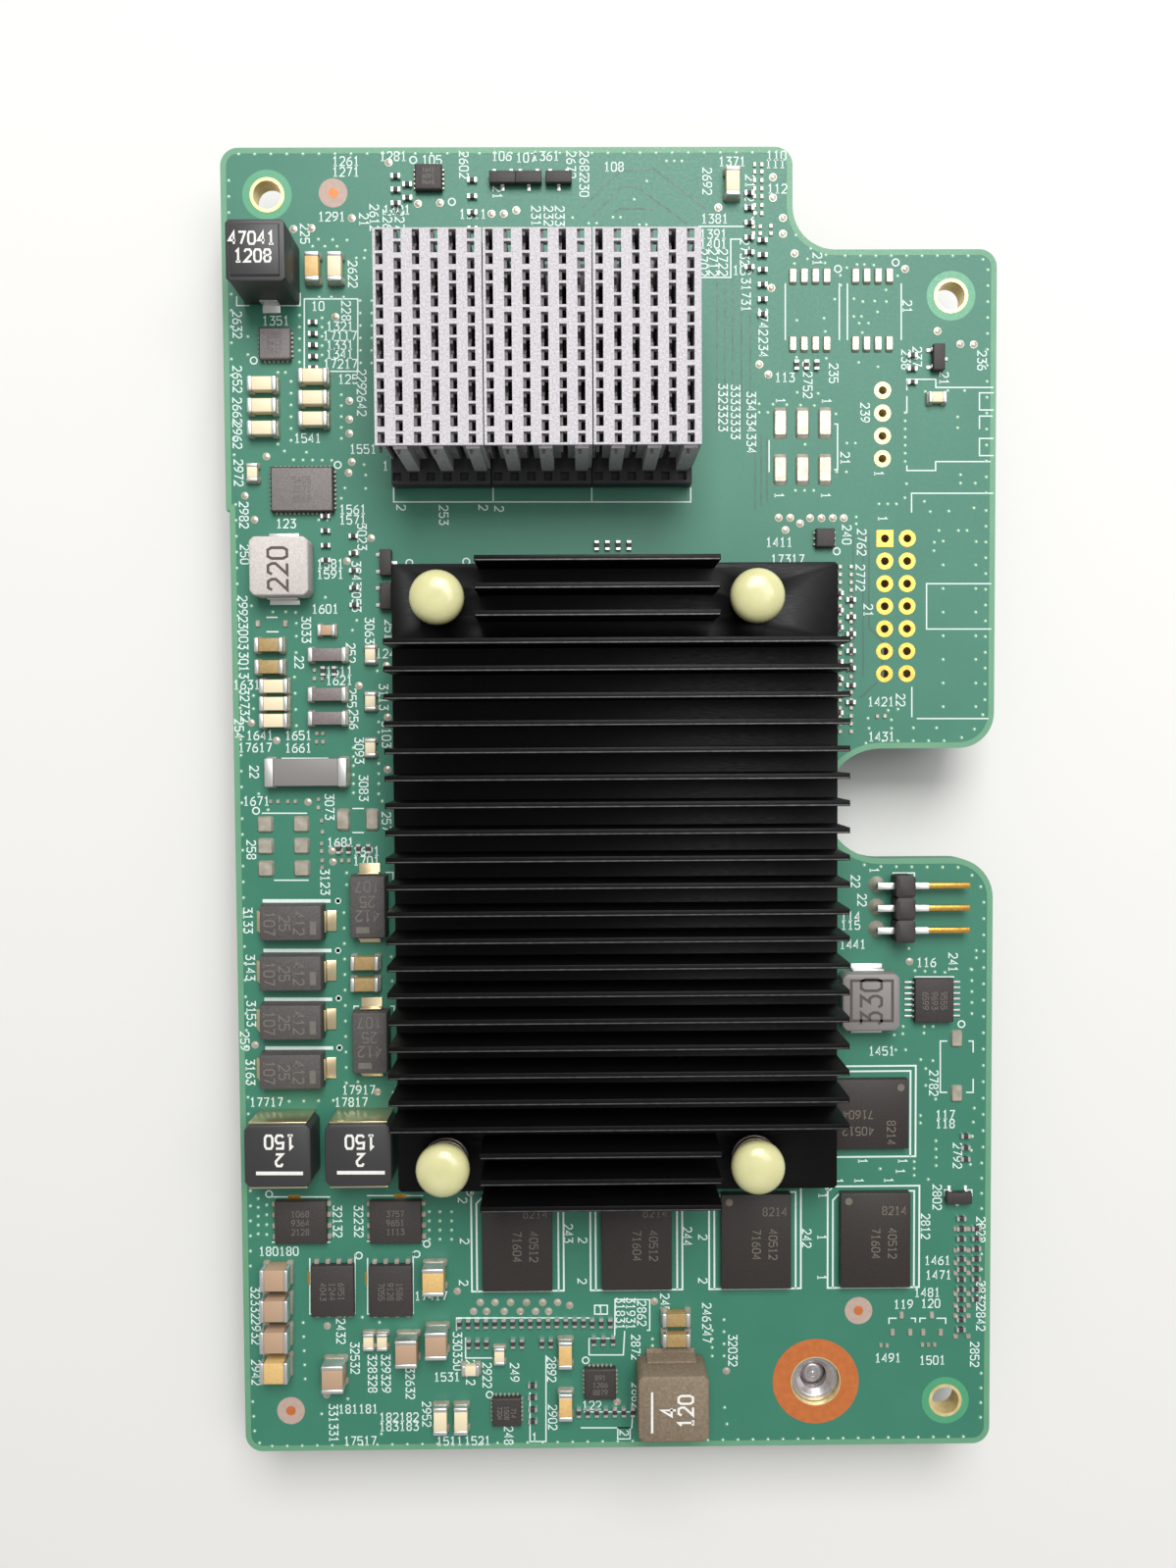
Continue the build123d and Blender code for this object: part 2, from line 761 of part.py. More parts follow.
def tiny_parts():
    """The smallest resistors and capacitors, one solid each."""
    parts = []
    for sx, sy, step_x, step_y, count, upright in tiny_row_shares:
        for k in range(count):
            x, y = place((sx + k * step_x, sy + k * step_y))
            size = (tiny_width, tiny_length) if upright else (tiny_length, tiny_width)
            parts.append(block(*size, tiny_height, x, y, board_top))
    keep("tiny_chip_parts", parts)


def controller_chips():
    sizes = [
        (upper_controller_share, upper_controller_size, upper_controller_size),
        (wide_controller_share, wide_controller_width, wide_controller_depth),
        (corner_controller_share, corner_controller_width, corner_controller_depth),
        (regulator_share, regulator_size, regulator_size),
        (lower_controller_share, lower_controller_size, lower_controller_size),
        (right_controller_share, right_controller_size, right_controller_size),
    ]
    bodies = []
    for share, width, depth in sizes:
        x, y = place(share)
        body = block(width, depth, controller_height, x, y, board_top)
        bodies.append(chamfer(body.faces().sort_by(Axis.Z)[-1].edges(), controller_edge))
    keep("controller_chips", bodies)


def power_transistors():
    bodies, leads = [], []
    turns = [(share, 0) for share in power_flat_shares] + [(share, 90) for share in power_upright_shares]
    first = -(power_lead_count - 1) / 2 * power_lead_pitch
    for share, turn in turns:
        x, y = place(share)
        at = Pos(x, y, board_top) * Rot(0, 0, turn)
        bodies.append(at * block(power_length, power_width, power_height))
        for side in (-1, 1):
            edge = side * (power_length + power_lead_reach) / 2
            for k in range(power_lead_count):
                leads.append(at * block(power_lead_reach, power_lead_width, power_lead_thickness,
                                        edge, first + k * power_lead_pitch))
    keep("power_transistors", bodies)
    keep("power_transistor_leads", leads)


def small_transistors():
    bodies, legs = [], []
    turns = [(share, 0) for share in transistor_flat_shares]
    turns += [(share, 90) for share in transistor_upright_shares]
    thick, reach = transistor_leg_thickness, transistor_leg_reach
    body_height = transistor_height - transistor_standoff
    shoulder = (transistor_height + transistor_standoff) / 2
    for share, turn in turns:
        x, y = place(share)
        at = Pos(x, y, board_top) * Rot(0, 0, turn)
        body = block(transistor_length, transistor_width, body_height, 0, 0, transistor_standoff)
        bodies.append(at * body)
        for along, side in ((-1, 1), (1, 1), (0, -1)):
            px = along * transistor_leg_spread
            edge = side * transistor_width / 2
            upright = block(transistor_leg_width, thick, shoulder, px, edge + side * thick / 2)
            foot = block(transistor_leg_width, reach, thick, px, edge + side * reach / 2)
            legs.append(at * (upright + foot))
    keep("small_transistors", bodies)
    keep("small_transistor_legs", legs)


def management_chip():
    x, y = place(management_share)
    height = management_height - management_standoff
    body = block(management_width, management_depth, height, x, y, board_top + management_standoff)
    keep("management_chip", [body])
    legs = []
    thick = management_leg_thickness
    first = -(management_leg_count - 1) / 2 * management_leg_pitch
    for side in (-1, 1):
        edge = x + side * management_width / 2
        for k in range(management_leg_count):
            leg_y = y + first + k * management_leg_pitch
            upright = block(thick, management_leg_width, management_height / 2,
                            edge + side * thick / 2, leg_y, board_top)
            foot = block(management_leg_reach, management_leg_width, thick,
                         edge + side * management_leg_reach / 2, leg_y, board_top)
            legs.append(upright + foot)
    keep("management_chip_legs", legs)


def pin_row():
    x, y = place(row_place_share)
    length = row_pin_count * header_pitch
    body = block(row_body_width, length, row_body_height, x, y, board_top)
    pins = []
    half = row_pin_size / 2
    right = x + row_body_width / 2 + row_pin_reach
    left = x - row_body_width / 2 - row_tail_reach
    middle = board_top + row_pin_level
    for k in range(row_pin_count):
        pin_y = y + (k - (row_pin_count - 1) / 2) * header_pitch
        bar = block(right - left, row_pin_size, row_pin_size, (left + right) / 2, pin_y, middle - half)
        body -= bar
        tail = block(row_pin_size, row_pin_size, row_pin_level, left + half, pin_y, board_top)
        pins.append(bar + tail)
    keep("pin_row_body", [body])
    keep("pin_row_pins", pins)


def captive_screw():
    x, y = place(captive_share)
    at = Pos(x, y, 0)
    flange_low = board_bottom - ferrule_flange
    barrel_low = flange_low - ferrule_barrel
    bore = screw_radius + screw_fit
    neck_bore = screw_neck_radius + screw_fit
    lip_top = barrel_low + ferrule_lip
    ferrule_top = board_top - ferrule_recess
    flange_radius = ferrule_radius + ferrule_flange_rim
    barrel_radius = ferrule_radius - ferrule_barrel_step
    spigot_radius = ferrule_radius - ferrule_spigot_gap
    ferrule = turned([
        (barrel_radius, barrel_low), (barrel_radius, flange_low), (flange_radius, flange_low),
        (flange_radius, board_bottom), (spigot_radius, board_bottom), (spigot_radius, ferrule_top),
    ], ferrule_sides)
    ferrule -= spin([
        (0, barrel_low), (neck_bore, barrel_low), (neck_bore, lip_top), (bore, lip_top),
        (bore, ferrule_top - ferrule_bevel), (bore + ferrule_bevel, ferrule_top), (0, ferrule_top),
    ])
    keep("captive_screw_ferrule", [at * ferrule])
    # The skirt takes in the flange and barrel when the screw is pushed home
    skirt_top = knob_floor + ferrule_barrel + ferrule_flange + knob_gap
    tip = board_top - screw_tip_recess
    thread_low = lip_top + screw_fit
    inner = flange_radius + knob_clearance
    outer = inner + knob_wall
    knob = turned([(outer, 0), (outer, skirt_top)], knob_sides)
    knob -= turned([(inner, knob_floor), (inner, skirt_top)], knob_sides)
    knob -= block(outer + inner, knob_slot_width, knob_slot_depth)
    stem = spin([
        (0, knob_floor), (screw_neck_radius, knob_floor), (screw_neck_radius, thread_low),
        (screw_radius, thread_low), (screw_radius, tip - screw_tip_chamfer),
        (screw_radius - screw_tip_chamfer, tip), (0, tip),
    ])
    keep("captive_screw", [at * (knob + stem)])
    length = flange_low - knob_floor - 2 * contact_gap
    spring = coil(x, y, knob_floor + contact_gap, length, return_spring_turns,
                  (barrel_radius + flange_radius) / 2, return_spring_wire)
    keep("captive_screw_spring", [spring])


def underside_parts():
    x0, y0 = processor_middle
    level = board_bottom - small_chip_height
    parts = []
    for i in range(under_columns):
        for j in range(under_rows):
            x = x0 + (i - (under_columns - 1) / 2) * under_pitch
            y = y0 + (j - (under_rows - 1) / 2) * under_pitch
            parts.append(block(small_chip_length, small_chip_width, small_chip_height, x, y, level))
    keep("underside_capacitors", parts)


def build():
    circuit_board()
    connector_modules()
    processor()
    push_pins(heat_sink())
    memory_chips()
    tall_inductor()
    moulded_inductor("square_inductor", *place(square_inductor_share), square_inductor_width,
                     square_inductor_depth, square_inductor_height, square_inductor_terminal)
    moulded_inductor("output_inductor", *place(output_inductor_share), output_inductor_width,
                     output_inductor_depth, output_inductor_height, output_inductor_terminal)
    moulded_inductor("edge_inductor", *edge_inductor_place(), edge_inductor_width,
                     edge_inductor_depth, edge_inductor_height, edge_inductor_terminal)
    block_inductors()
    polymer_capacitors()
    large = (large_chip_length, large_chip_width, large_chip_height, large_chip_end)
    medium = (medium_chip_length, medium_chip_width, medium_chip_height, medium_chip_end)
    small = (small_chip_length, small_chip_width, small_chip_height, small_chip_end)
    bead = (bead_length, bead_width, bead_height, bead_end)
    chip_group("large_ceramics", large, places(large_flat_shares), places(large_upright_shares))
    medium_flat = places(medium_flat_shares) + list(output_pair())
    chip_group("medium_ceramics", medium, medium_flat, places(medium_upright_shares))
    chip_group("small_ceramics", small, places(small_flat_shares), places(small_upright_shares))
    chip_group("ferrite_beads", bead, places(bead_shares), [])
    long_ferrite()
    tiny_parts()
    controller_chips()
    power_transistors()
    small_transistors()
    management_chip()
    pin_row()
    captive_screw()
    underside_parts()


build()
os.makedirs("parts", exist_ok=True)
for name, shape in pieces.items():
    export_step(shape, f"parts/{name}.step")
print(len(pieces), "nodes")
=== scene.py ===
"""Dresses the mezzanine network card: finishes, copper, white print and the small parts.

Run as a script in Blender. Places and sizes are millimetres in the card's own frame. Where a
name ends in _PX its places are pixels of the picture. Each operator makes one group of pieces.
"""
import json
import math
import random
from contextlib import contextmanager

import bmesh
import bpy
from bpy.props import FloatProperty, FloatVectorProperty, IntProperty, PointerProperty
from mathutils import Matrix, Vector


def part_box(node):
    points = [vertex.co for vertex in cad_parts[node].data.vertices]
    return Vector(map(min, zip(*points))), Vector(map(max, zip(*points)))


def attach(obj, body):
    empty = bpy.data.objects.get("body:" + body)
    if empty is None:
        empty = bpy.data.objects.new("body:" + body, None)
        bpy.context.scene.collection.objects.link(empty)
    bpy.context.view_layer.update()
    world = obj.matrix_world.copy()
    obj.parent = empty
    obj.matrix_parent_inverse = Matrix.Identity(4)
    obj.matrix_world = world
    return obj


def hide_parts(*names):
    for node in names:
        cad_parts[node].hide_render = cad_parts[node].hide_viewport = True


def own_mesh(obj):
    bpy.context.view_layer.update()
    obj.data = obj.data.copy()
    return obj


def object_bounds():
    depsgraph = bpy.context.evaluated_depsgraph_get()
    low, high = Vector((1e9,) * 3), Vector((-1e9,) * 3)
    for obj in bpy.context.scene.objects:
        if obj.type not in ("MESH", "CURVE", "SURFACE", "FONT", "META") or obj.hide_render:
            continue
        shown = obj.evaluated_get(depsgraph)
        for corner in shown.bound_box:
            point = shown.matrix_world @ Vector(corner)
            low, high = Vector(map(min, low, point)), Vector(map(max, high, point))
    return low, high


bl_info = {
    "name": "Mezzanine network card",
    "version": (1, 0, 0),
    "blender": (4, 5, 0),
    "location": "3D View > Sidebar > Card",
    "description": "Builds the finishes and the fine pieces of a mezzanine network card",
    "category": "Object",
}

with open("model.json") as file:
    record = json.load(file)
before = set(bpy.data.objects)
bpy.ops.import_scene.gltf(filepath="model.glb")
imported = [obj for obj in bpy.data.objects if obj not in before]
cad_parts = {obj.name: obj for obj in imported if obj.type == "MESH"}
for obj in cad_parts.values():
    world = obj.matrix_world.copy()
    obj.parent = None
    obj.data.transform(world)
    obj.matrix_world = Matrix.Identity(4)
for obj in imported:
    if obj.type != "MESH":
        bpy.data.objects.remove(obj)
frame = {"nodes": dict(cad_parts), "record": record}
CAD_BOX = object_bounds()
MM = 0.001

# Camera: distance in pixels, middle of the picture, place in millimetres, turns in radians
IMAGE_WIDTH, IMAGE_HEIGHT = 1199, 1599
FOCAL_PX = 1200.0
CAMERA_PLACE = Vector((-4.008, 8.003, 144.16))
CAMERA_TURN = (
    Matrix.Rotation(-0.03714577, 3, "X")
    @ Matrix.Rotation(-0.00851047, 3, "Y")
    @ Matrix.Rotation(-0.00648787, 3, "Z")
)
BOARD_LOW, BOARD_TOP = (corner.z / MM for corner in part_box("circuit_board"))
PRINT_LEVEL = 0.025
TRACK_LEVEL = 0.012
# Up to which angle in degrees edges are shaded as round
SOFT_ANGLE = 50.0
# Points nearer than this in metres are one point; a face whose normal rises above this faces up
WELD, UPWARD = 1e-6, 0.9


def linear(shade):
    """A screen colour from 0 to 255 as linear light."""
    shares = [level / 255 for level in shade]
    return tuple(s / 12.92 if s <= 0.04045 else ((s + 0.055) / 1.055) ** 2.4 for s in shares)


def tone(name, description, shade):
    return FloatVectorProperty(name=name, description=description, subtype="COLOR", size=3,
                               min=0.0, max=1.0, default=linear(shade))


def distance(name, description, millimetres):
    return FloatProperty(name=name, description=description, unit="LENGTH", min=0.0,
                         precision=5, default=millimetres * MM)


def on_board(u, v, height=0.0):
    """The point of the board, or of a level above it, that a pixel shows."""
    ray = Vector(((u - IMAGE_WIDTH / 2) / FOCAL_PX, -(v - IMAGE_HEIGHT / 2) / FOCAL_PX, -1.0))
    ray = CAMERA_TURN @ ray
    reach = (BOARD_TOP + height - CAMERA_PLACE.z) / ray.z
    point = CAMERA_PLACE + reach * ray
    return point.x, point.y


def in_row(first, last, count):
    """Evenly spaced points from the first to the last."""
    for k in range(count):
        share = k / (count - 1) if count > 1 else 0.0
        yield tuple(a + (b - a) * share for a, b in zip(first, last))


def node_middle(name):
    low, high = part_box(name)
    return (low + high) / (2 * MM)


def centre(low, high):
    """The middle of a box in plan."""
    return (low.x + high.x) / 2, (low.y + high.y) / 2


def even_steps(length, pitch):
    """Places at a pitch that fit in a length, measured from its middle."""
    count = int(length / pitch)
    return [(k - count / 2) * pitch for k in range(count + 1)]


def deselect():
    for piece in bpy.context.selected_objects:
        piece.select_set(False)


@contextmanager
def editing(piece):
    """Edit mode on one piece, with nothing in it selected."""
    deselect()
    bpy.context.view_layer.objects.active = piece
    piece.select_set(True)
    bpy.ops.object.mode_set(mode="EDIT")
    bpy.ops.mesh.select_all(action="DESELECT")
    yield piece.data
    bpy.ops.object.mode_set(mode="OBJECT")


def choose(mesh, test, kind="FACE"):
    """Selects the faces, edges or points of a mesh in edit mode that pass a test."""
    shape = bmesh.from_edit_mesh(mesh)
    bpy.ops.mesh.select_mode(type=kind)
    parts = {"FACE": shape.faces, "EDGE": shape.edges, "VERT": shape.verts}[kind]
    for part in parts:
        part.select_set(test(part))
    shape.select_flush_mode()
    bmesh.update_edit_mesh(mesh)


def new_piece(name, points=(), edges=(), faces=()):
    mesh = bpy.data.meshes.new(name)
    mesh.from_pydata([Vector(p) * MM for p in points], edges, faces)
    piece = bpy.data.objects.new(name, mesh)
    bpy.context.scene.collection.objects.link(piece)
    return piece


def modify(piece, kind, **settings):
    """Adds a modifier and applies it."""
    deselect()
    bpy.context.view_layer.objects.active = piece
    piece.select_set(True)
    made = piece.modifiers.new(kind.title(), kind)
    for key, value in settings.items():
        setattr(made, key, value)
    bpy.ops.object.modifier_apply(modifier=made.name)


def smooth(piece, angle=30.0):
    deselect()
    bpy.context.view_layer.objects.active = piece
    piece.select_set(True)
    bpy.ops.object.shade_smooth_by_angle(angle=math.radians(angle))


def dress(piece, material, slot, body="card"):
    """Gives a new piece its material and its body. The slot is not used."""
    piece.data.materials.clear()
    piece.data.materials.append(material)
    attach(piece, body)
    return piece


def paint(node, material):
    """A better material for a solid whose shape is right as it is."""
    solid = frame["nodes"][node]
    if not solid.data.materials:
        solid.data.materials.append(material)
    for holder in solid.material_slots:
        holder.material = material


def body_of(node):
    for body, members in frame["record"]["behaviour"]["bodies"].items():
        if node in members:
            return body
    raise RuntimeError("no body holds " + node)


def softened(node, width, material, slot, segments=2, angle=30.0):
    """A copy of a solid with rounded edges, which stands for it."""
    piece = bpy.data.objects.new(node + "_finish", frame["nodes"][node].data.copy())
    bpy.context.scene.collection.objects.link(piece)
    with editing(piece):
        bpy.ops.mesh.select_all(action="SELECT")
        bpy.ops.mesh.remove_doubles(threshold=WELD)
        bpy.ops.mesh.dissolve_limited(angle_limit=math.radians(1.0))
    modify(piece, "BEVEL", width=width * MM, segments=segments, limit_method="ANGLE",
           angle_limit=math.radians(angle))
    smooth(piece, 40.0)
    dress(piece, material, slot, body_of(node))
    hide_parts(node)
    return piece


def islands(node):
    """Lowest and highest corner of each loose solid of a node, in millimetres."""
    shape = bmesh.new()
    shape.from_mesh(frame["nodes"][node].data)
    bmesh.ops.remove_doubles(shape, verts=shape.verts, dist=WELD)
    left = set(shape.verts)
    found = []
    while left:
        stack = [left.pop()]
        low = high = stack[0].co.copy()
        while stack:
            point = stack.pop()
            low = Vector(map(min, low, point.co))
            high = Vector(map(max, high, point.co))
            for edge in point.link_edges:
                other = edge.other_vert(point)
                if other in left:
                    left.remove(other)
                    stack.append(other)
        found.append((low / MM, high / MM))
    shape.free()
    return found


def piece_of(name, shape):
    """A new piece from a loose shape, which is freed."""
    mesh = bpy.data.meshes.new(name)
    shape.to_mesh(mesh)
    shape.free()
    piece = bpy.data.objects.new(name, mesh)
    bpy.context.scene.collection.objects.link(piece)
    return piece


def stamp(name, template, spots):
    """Copies of a template joined as one piece: x, y, z, turn in degrees and a size for each."""
    whole = bmesh.new()
    for spot in spots:
        x, y, z, turn = spot[:4]
        scale = spot[4] if len(spot) > 4 else (1.0, 1.0, 1.0)
        part = template.data.copy()
        part.transform(
            Matrix.Translation(Vector((x, y, z)) * MM)
            @ Matrix.Rotation(math.radians(turn), 4, "Z")
            @ Matrix.Diagonal((*scale, 1.0))
        )
        whole.from_mesh(part)
        bpy.data.meshes.remove(part)
    return piece_of(name, whole)


def placed(name, template, spots, finish_name, slot, body="card", angle=None):
    """Copies of a template joined and dressed as one piece; the template is removed."""
    piece = stamp(name, template, spots)
    if angle:
        smooth(piece, angle)
    dress(piece, finish(finish_name), slot, body)
    discard(template)
    return piece


def discard(*templates):
    for template in templates:
        bpy.data.objects.remove(template)


def lathe(name, profile, steps=32, closed=False):
    """A piece turned about Z from (radius, level) points."""
    points = [(radius, 0.0, level) for radius, level in profile]
    edges = [(k, k + 1) for k in range(len(points) - 1)]
    if closed:
        edges.append((len(points) - 1, 0))
    piece = new_piece(name, points, edges)
    with editing(piece):
        bpy.ops.mesh.select_all(action="SELECT")
        bpy.ops.mesh.spin(steps=steps, angle=2 * math.pi, center=(0, 0, 0), axis=(0, 0, 1))
        bpy.ops.mesh.select_all(action="SELECT")
        bpy.ops.mesh.remove_doubles(threshold=1e-7)
        bpy.ops.mesh.normals_make_consistent(inside=False)
    smooth(piece, 35.0)
    return piece


def scaled(shares, radius):
    """A section given as shares of a radius, as (radius, level) points."""
    return [(share * radius, level) for share, level in shares]


def ring(name, inner, outer, height, steps=32):
    """A flat washer with its underside on level zero."""
    profile = [(inner, 0.0), (outer, 0.0), (outer, height), (inner, height)]
    return lathe(name, profile, steps, closed=True)


INSET_SHARE = 0.8


def lozenge(name, width, depth, height, corner, crown=0.0):
    """A low pad with rounded corners on level zero, its middle raised by the crown."""
    deselect()
    bpy.ops.mesh.primitive_cube_add(size=MM)
    piece = bpy.context.active_object
    piece.name = name
    piece.data.transform(Matrix.Translation((0, 0, 0.5 * MM)))
    piece.data.transform(Matrix.Diagonal((width, depth, height, 1.0)))
    with editing(piece) as mesh:
        choose(mesh, lambda e: abs((e.verts[0].co - e.verts[1].co).normalized().z) > UPWARD, "EDGE")
        bpy.ops.mesh.bevel(offset=corner * MM, segments=2, affect="EDGES")
        if crown:
            choose(mesh, lambda f: f.normal.z > UPWARD)
            bpy.ops.mesh.inset(thickness=corner * INSET_SHARE * MM)
            bpy.ops.transform.translate(value=(0, 0, crown * MM))
    smooth(piece, 60.0)
    return piece


MITRE_LIMIT = 0.4


def ribbon(run, width):
    """Left and right points of a flat line of some width, with mitred corners."""
    closed = len(run) > 2 and math.dist(run[0], run[-1]) < 1e-6
    if closed:
        run = run[:-1]
    count = len(run)
    rails = []
    for k, point in enumerate(run):
        before = run[k - 1] if k or closed else None
        after = run[(k + 1) % count] if k < count - 1 or closed else None
        ways = []
        for a, b in ((before, point), (point, after)):
            if a is not None and b is not None:
                step = Vector((b[0] - a[0], b[1] - a[1]))
                ways.append(step.normalized())
        way = sum(ways, Vector((0.0, 0.0))).normalized()
        side = Vector((-way.y, way.x))
        facing = Vector((-ways[0].y, ways[0].x))
        reach = width / 2 / max(side.dot(facing), MITRE_LIMIT)
        rails.append((side * reach, point))
    return [((p[0] + s.x, p[1] + s.y), (p[0] - s.x, p[1] - s.y)) for s, p in rails], closed


def strokes(name, runs, width, level):
    """Flat printed lines: each run is a list of (x, y) points, closed where it ends at its start."""
    points, faces = [], []
    for run in runs:
        rails, closed = ribbon(run, width)
        start = len(points)
        for left, right in rails:
            points += [(*left, level), (*right, level)]
        count = len(rails)
        for k in range(count if closed else count - 1):
            a, b = start + 2 * k, start + 2 * ((k + 1) % count)
            faces.append((a, a + 1, b + 1, b))
    return new_piece(name, points, (), faces)


def px_runs(runs, height=0.0):
    """Runs of pixels as runs of points on the board."""
    return [[on_board(u, v, height) for u, v in run] for run in runs]


def box_run(x0, y0, x1, y1):
    return [(x0, y0), (x1, y0), (x1, y1), (x0, y1), (x0, y0)]


# Numerals drawn with straight pen strokes in a box one wide and one high
NUMERAL_RUNS = {
    "0": [[(0.2, 0), (0.8, 0), (1, 0.2), (1, 0.8), (0.8, 1), (0.2, 1), (0, 0.8), (0, 0.2), (0.2, 0)]],
    "1": [[(0.15, 0.8), (0.5, 1), (0.5, 0)], [(0.15, 0), (0.85, 0)]],
    "2": [[(0, 0.8), (0.2, 1), (0.8, 1), (1, 0.8), (1, 0.6), (0, 0), (1, 0)]],
    "3": [[(0, 1), (1, 1), (0.45, 0.58), (0.8, 0.58), (1, 0.4), (1, 0.2), (0.8, 0), (0.2, 0), (0, 0.15)]],
    "4": [[(0.75, 0), (0.75, 1), (0, 0.3), (1, 0.3)]],
    "5": [[(1, 1), (0.05, 1), (0, 0.55), (0.75, 0.6), (1, 0.42), (1, 0.2), (0.8, 0), (0.2, 0), (0, 0.15)]],
    "6": [[(0.9, 1), (0.3, 0.8), (0, 0.4), (0, 0.2), (0.2, 0), (0.8, 0), (1, 0.2), (1, 0.4), (0.8, 0.55), (0.1, 0.5)]],
    "7": [[(0, 1), (1, 1), (0.35, 0)]],
    "8": [[(0.2, 0.53), (0, 0.75), (0.2, 1), (0.8, 1), (1, 0.75), (0.8, 0.53), (0.2, 0.53), (0, 0.27),
           (0.2, 0), (0.8, 0), (1, 0.27), (0.8, 0.53)]],
    "9": [[(0.1, 0), (0.7, 0.2), (1, 0.6), (1, 0.8), (0.8, 1), (0.2, 1), (0, 0.8), (0, 0.6), (0.2, 0.45), (0.9, 0.5)]],
}


# Width of a numeral and step to the next, as shares of its height
NUMERAL_WIDTH, NUMERAL_STEP = 0.56, 0.82


def numerals(text, x, y, turn, height):
    """Pen strokes of a row of numerals centred on a point."""
    width, advance = height * NUMERAL_WIDTH, height * NUMERAL_STEP
    start = -(len(text) - 1) / 2 * advance - width / 2
    c, s = math.cos(math.radians(turn)), math.sin(math.radians(turn))
    runs = []
    for k, letter in enumerate(text):
        for run in NUMERAL_RUNS[letter]:
            flat = [(start + k * advance + px * width, (py - 0.5) * height) for px, py in run]
            runs.append([(x + c * a - s * b, y + s * a + c * b) for a, b in flat])
    return runs


def add_node(material, kind, inputs=None, **settings):
    made = material.node_tree.nodes.new(kind)
    for key, value in settings.items():
        setattr(made, key, value)
    for socket, value in (inputs or {}).items():
        made.inputs[socket].default_value = value
    return made


def wire(material, *links):
    for start, out, end, into in links:
        material.node_tree.links.new(start.outputs[out], end.inputs[into])


def shader_of(material):
    return next(n for n in material.node_tree.nodes if n.type == "BSDF_PRINCIPLED")


def grained(name, colour, other, grain=0.4, contrast=0.5, roughness=0.5, spread=0.08,
            metallic=0.0, relief=0.01, stretch=(1.0, 1.0, 1.0), coat=0.0, fine=4.0, specular=0.5):
    """Two shades broken up by a grain given in millimetres, with a fine relief."""
    material = bpy.data.materials.new(name)
    material.use_nodes = True
    shader = shader_of(material)
    shader.inputs["Metallic"].default_value = metallic
    shader.inputs["Coat Weight"].default_value = coat
    shader.inputs["Coat Roughness"].default_value = 0.15
    shader.inputs["Specular IOR Level"].default_value = specular
    place = add_node(material, "ShaderNodeTexCoord")
    turn = add_node(material, "ShaderNodeMapping", {"Scale": stretch})
    broad = add_node(material, "ShaderNodeTexNoise", {"Scale": 1 / (grain * MM), "Detail": 4.0})
    small = add_node(material, "ShaderNodeTexNoise", {"Scale": fine / (grain * MM), "Detail": 3.0})
    share = add_node(material, "ShaderNodeMapRange",
                     {"From Min": 0.5 - 0.25 / max(contrast, 0.05), "From Max": 0.5 + 0.25 / max(contrast, 0.05)})
    gloss = add_node(material, "ShaderNodeMapRange",
                     {"From Min": 0.3, "From Max": 0.7, "To Min": max(roughness - spread, 0.02),
                      "To Max": roughness + spread})
    blend = add_node(material, "ShaderNodeMix", data_type="RGBA")
    blend_a = next(i for i in blend.inputs if i.name == "A" and i.type == "RGBA")
    blend_b = next(i for i in blend.inputs if i.name == "B" and i.type == "RGBA")
    blend_a.default_value = (*colour, 1.0)
    blend_b.default_value = (*other, 1.0)
    result = next(o for o in blend.outputs if o.type == "RGBA")
    bump = add_node(material, "ShaderNodeBump", {"Strength": 0.6, "Distance": relief * MM})
    wire(
        material,
        (place, "Object", turn, "Vector"), (turn, "Vector", broad, "Vector"),
        (turn, "Vector", small, "Vector"), (broad, "Fac", share, "Value"),
        (share, "Result", blend, "Factor"), (small, "Fac", gloss, "Value"),
        (gloss, "Result", shader, "Roughness"), (small, "Fac", bump, "Height"),
        (bump, "Normal", shader, "Normal"),
    )
    material.node_tree.links.new(result, shader.inputs["Base Color"])
    return material


def finish(name):
    """A material that an earlier operator made, or a new one from the table of finishes."""
    found = bpy.data.materials.get(name)
    if found:
        return found
    shades = bpy.context.scene.card_colours
    *_, other, settings = FINISHES[name]
    return grained(name, tuple(getattr(shades, name)), linear(other), **settings)


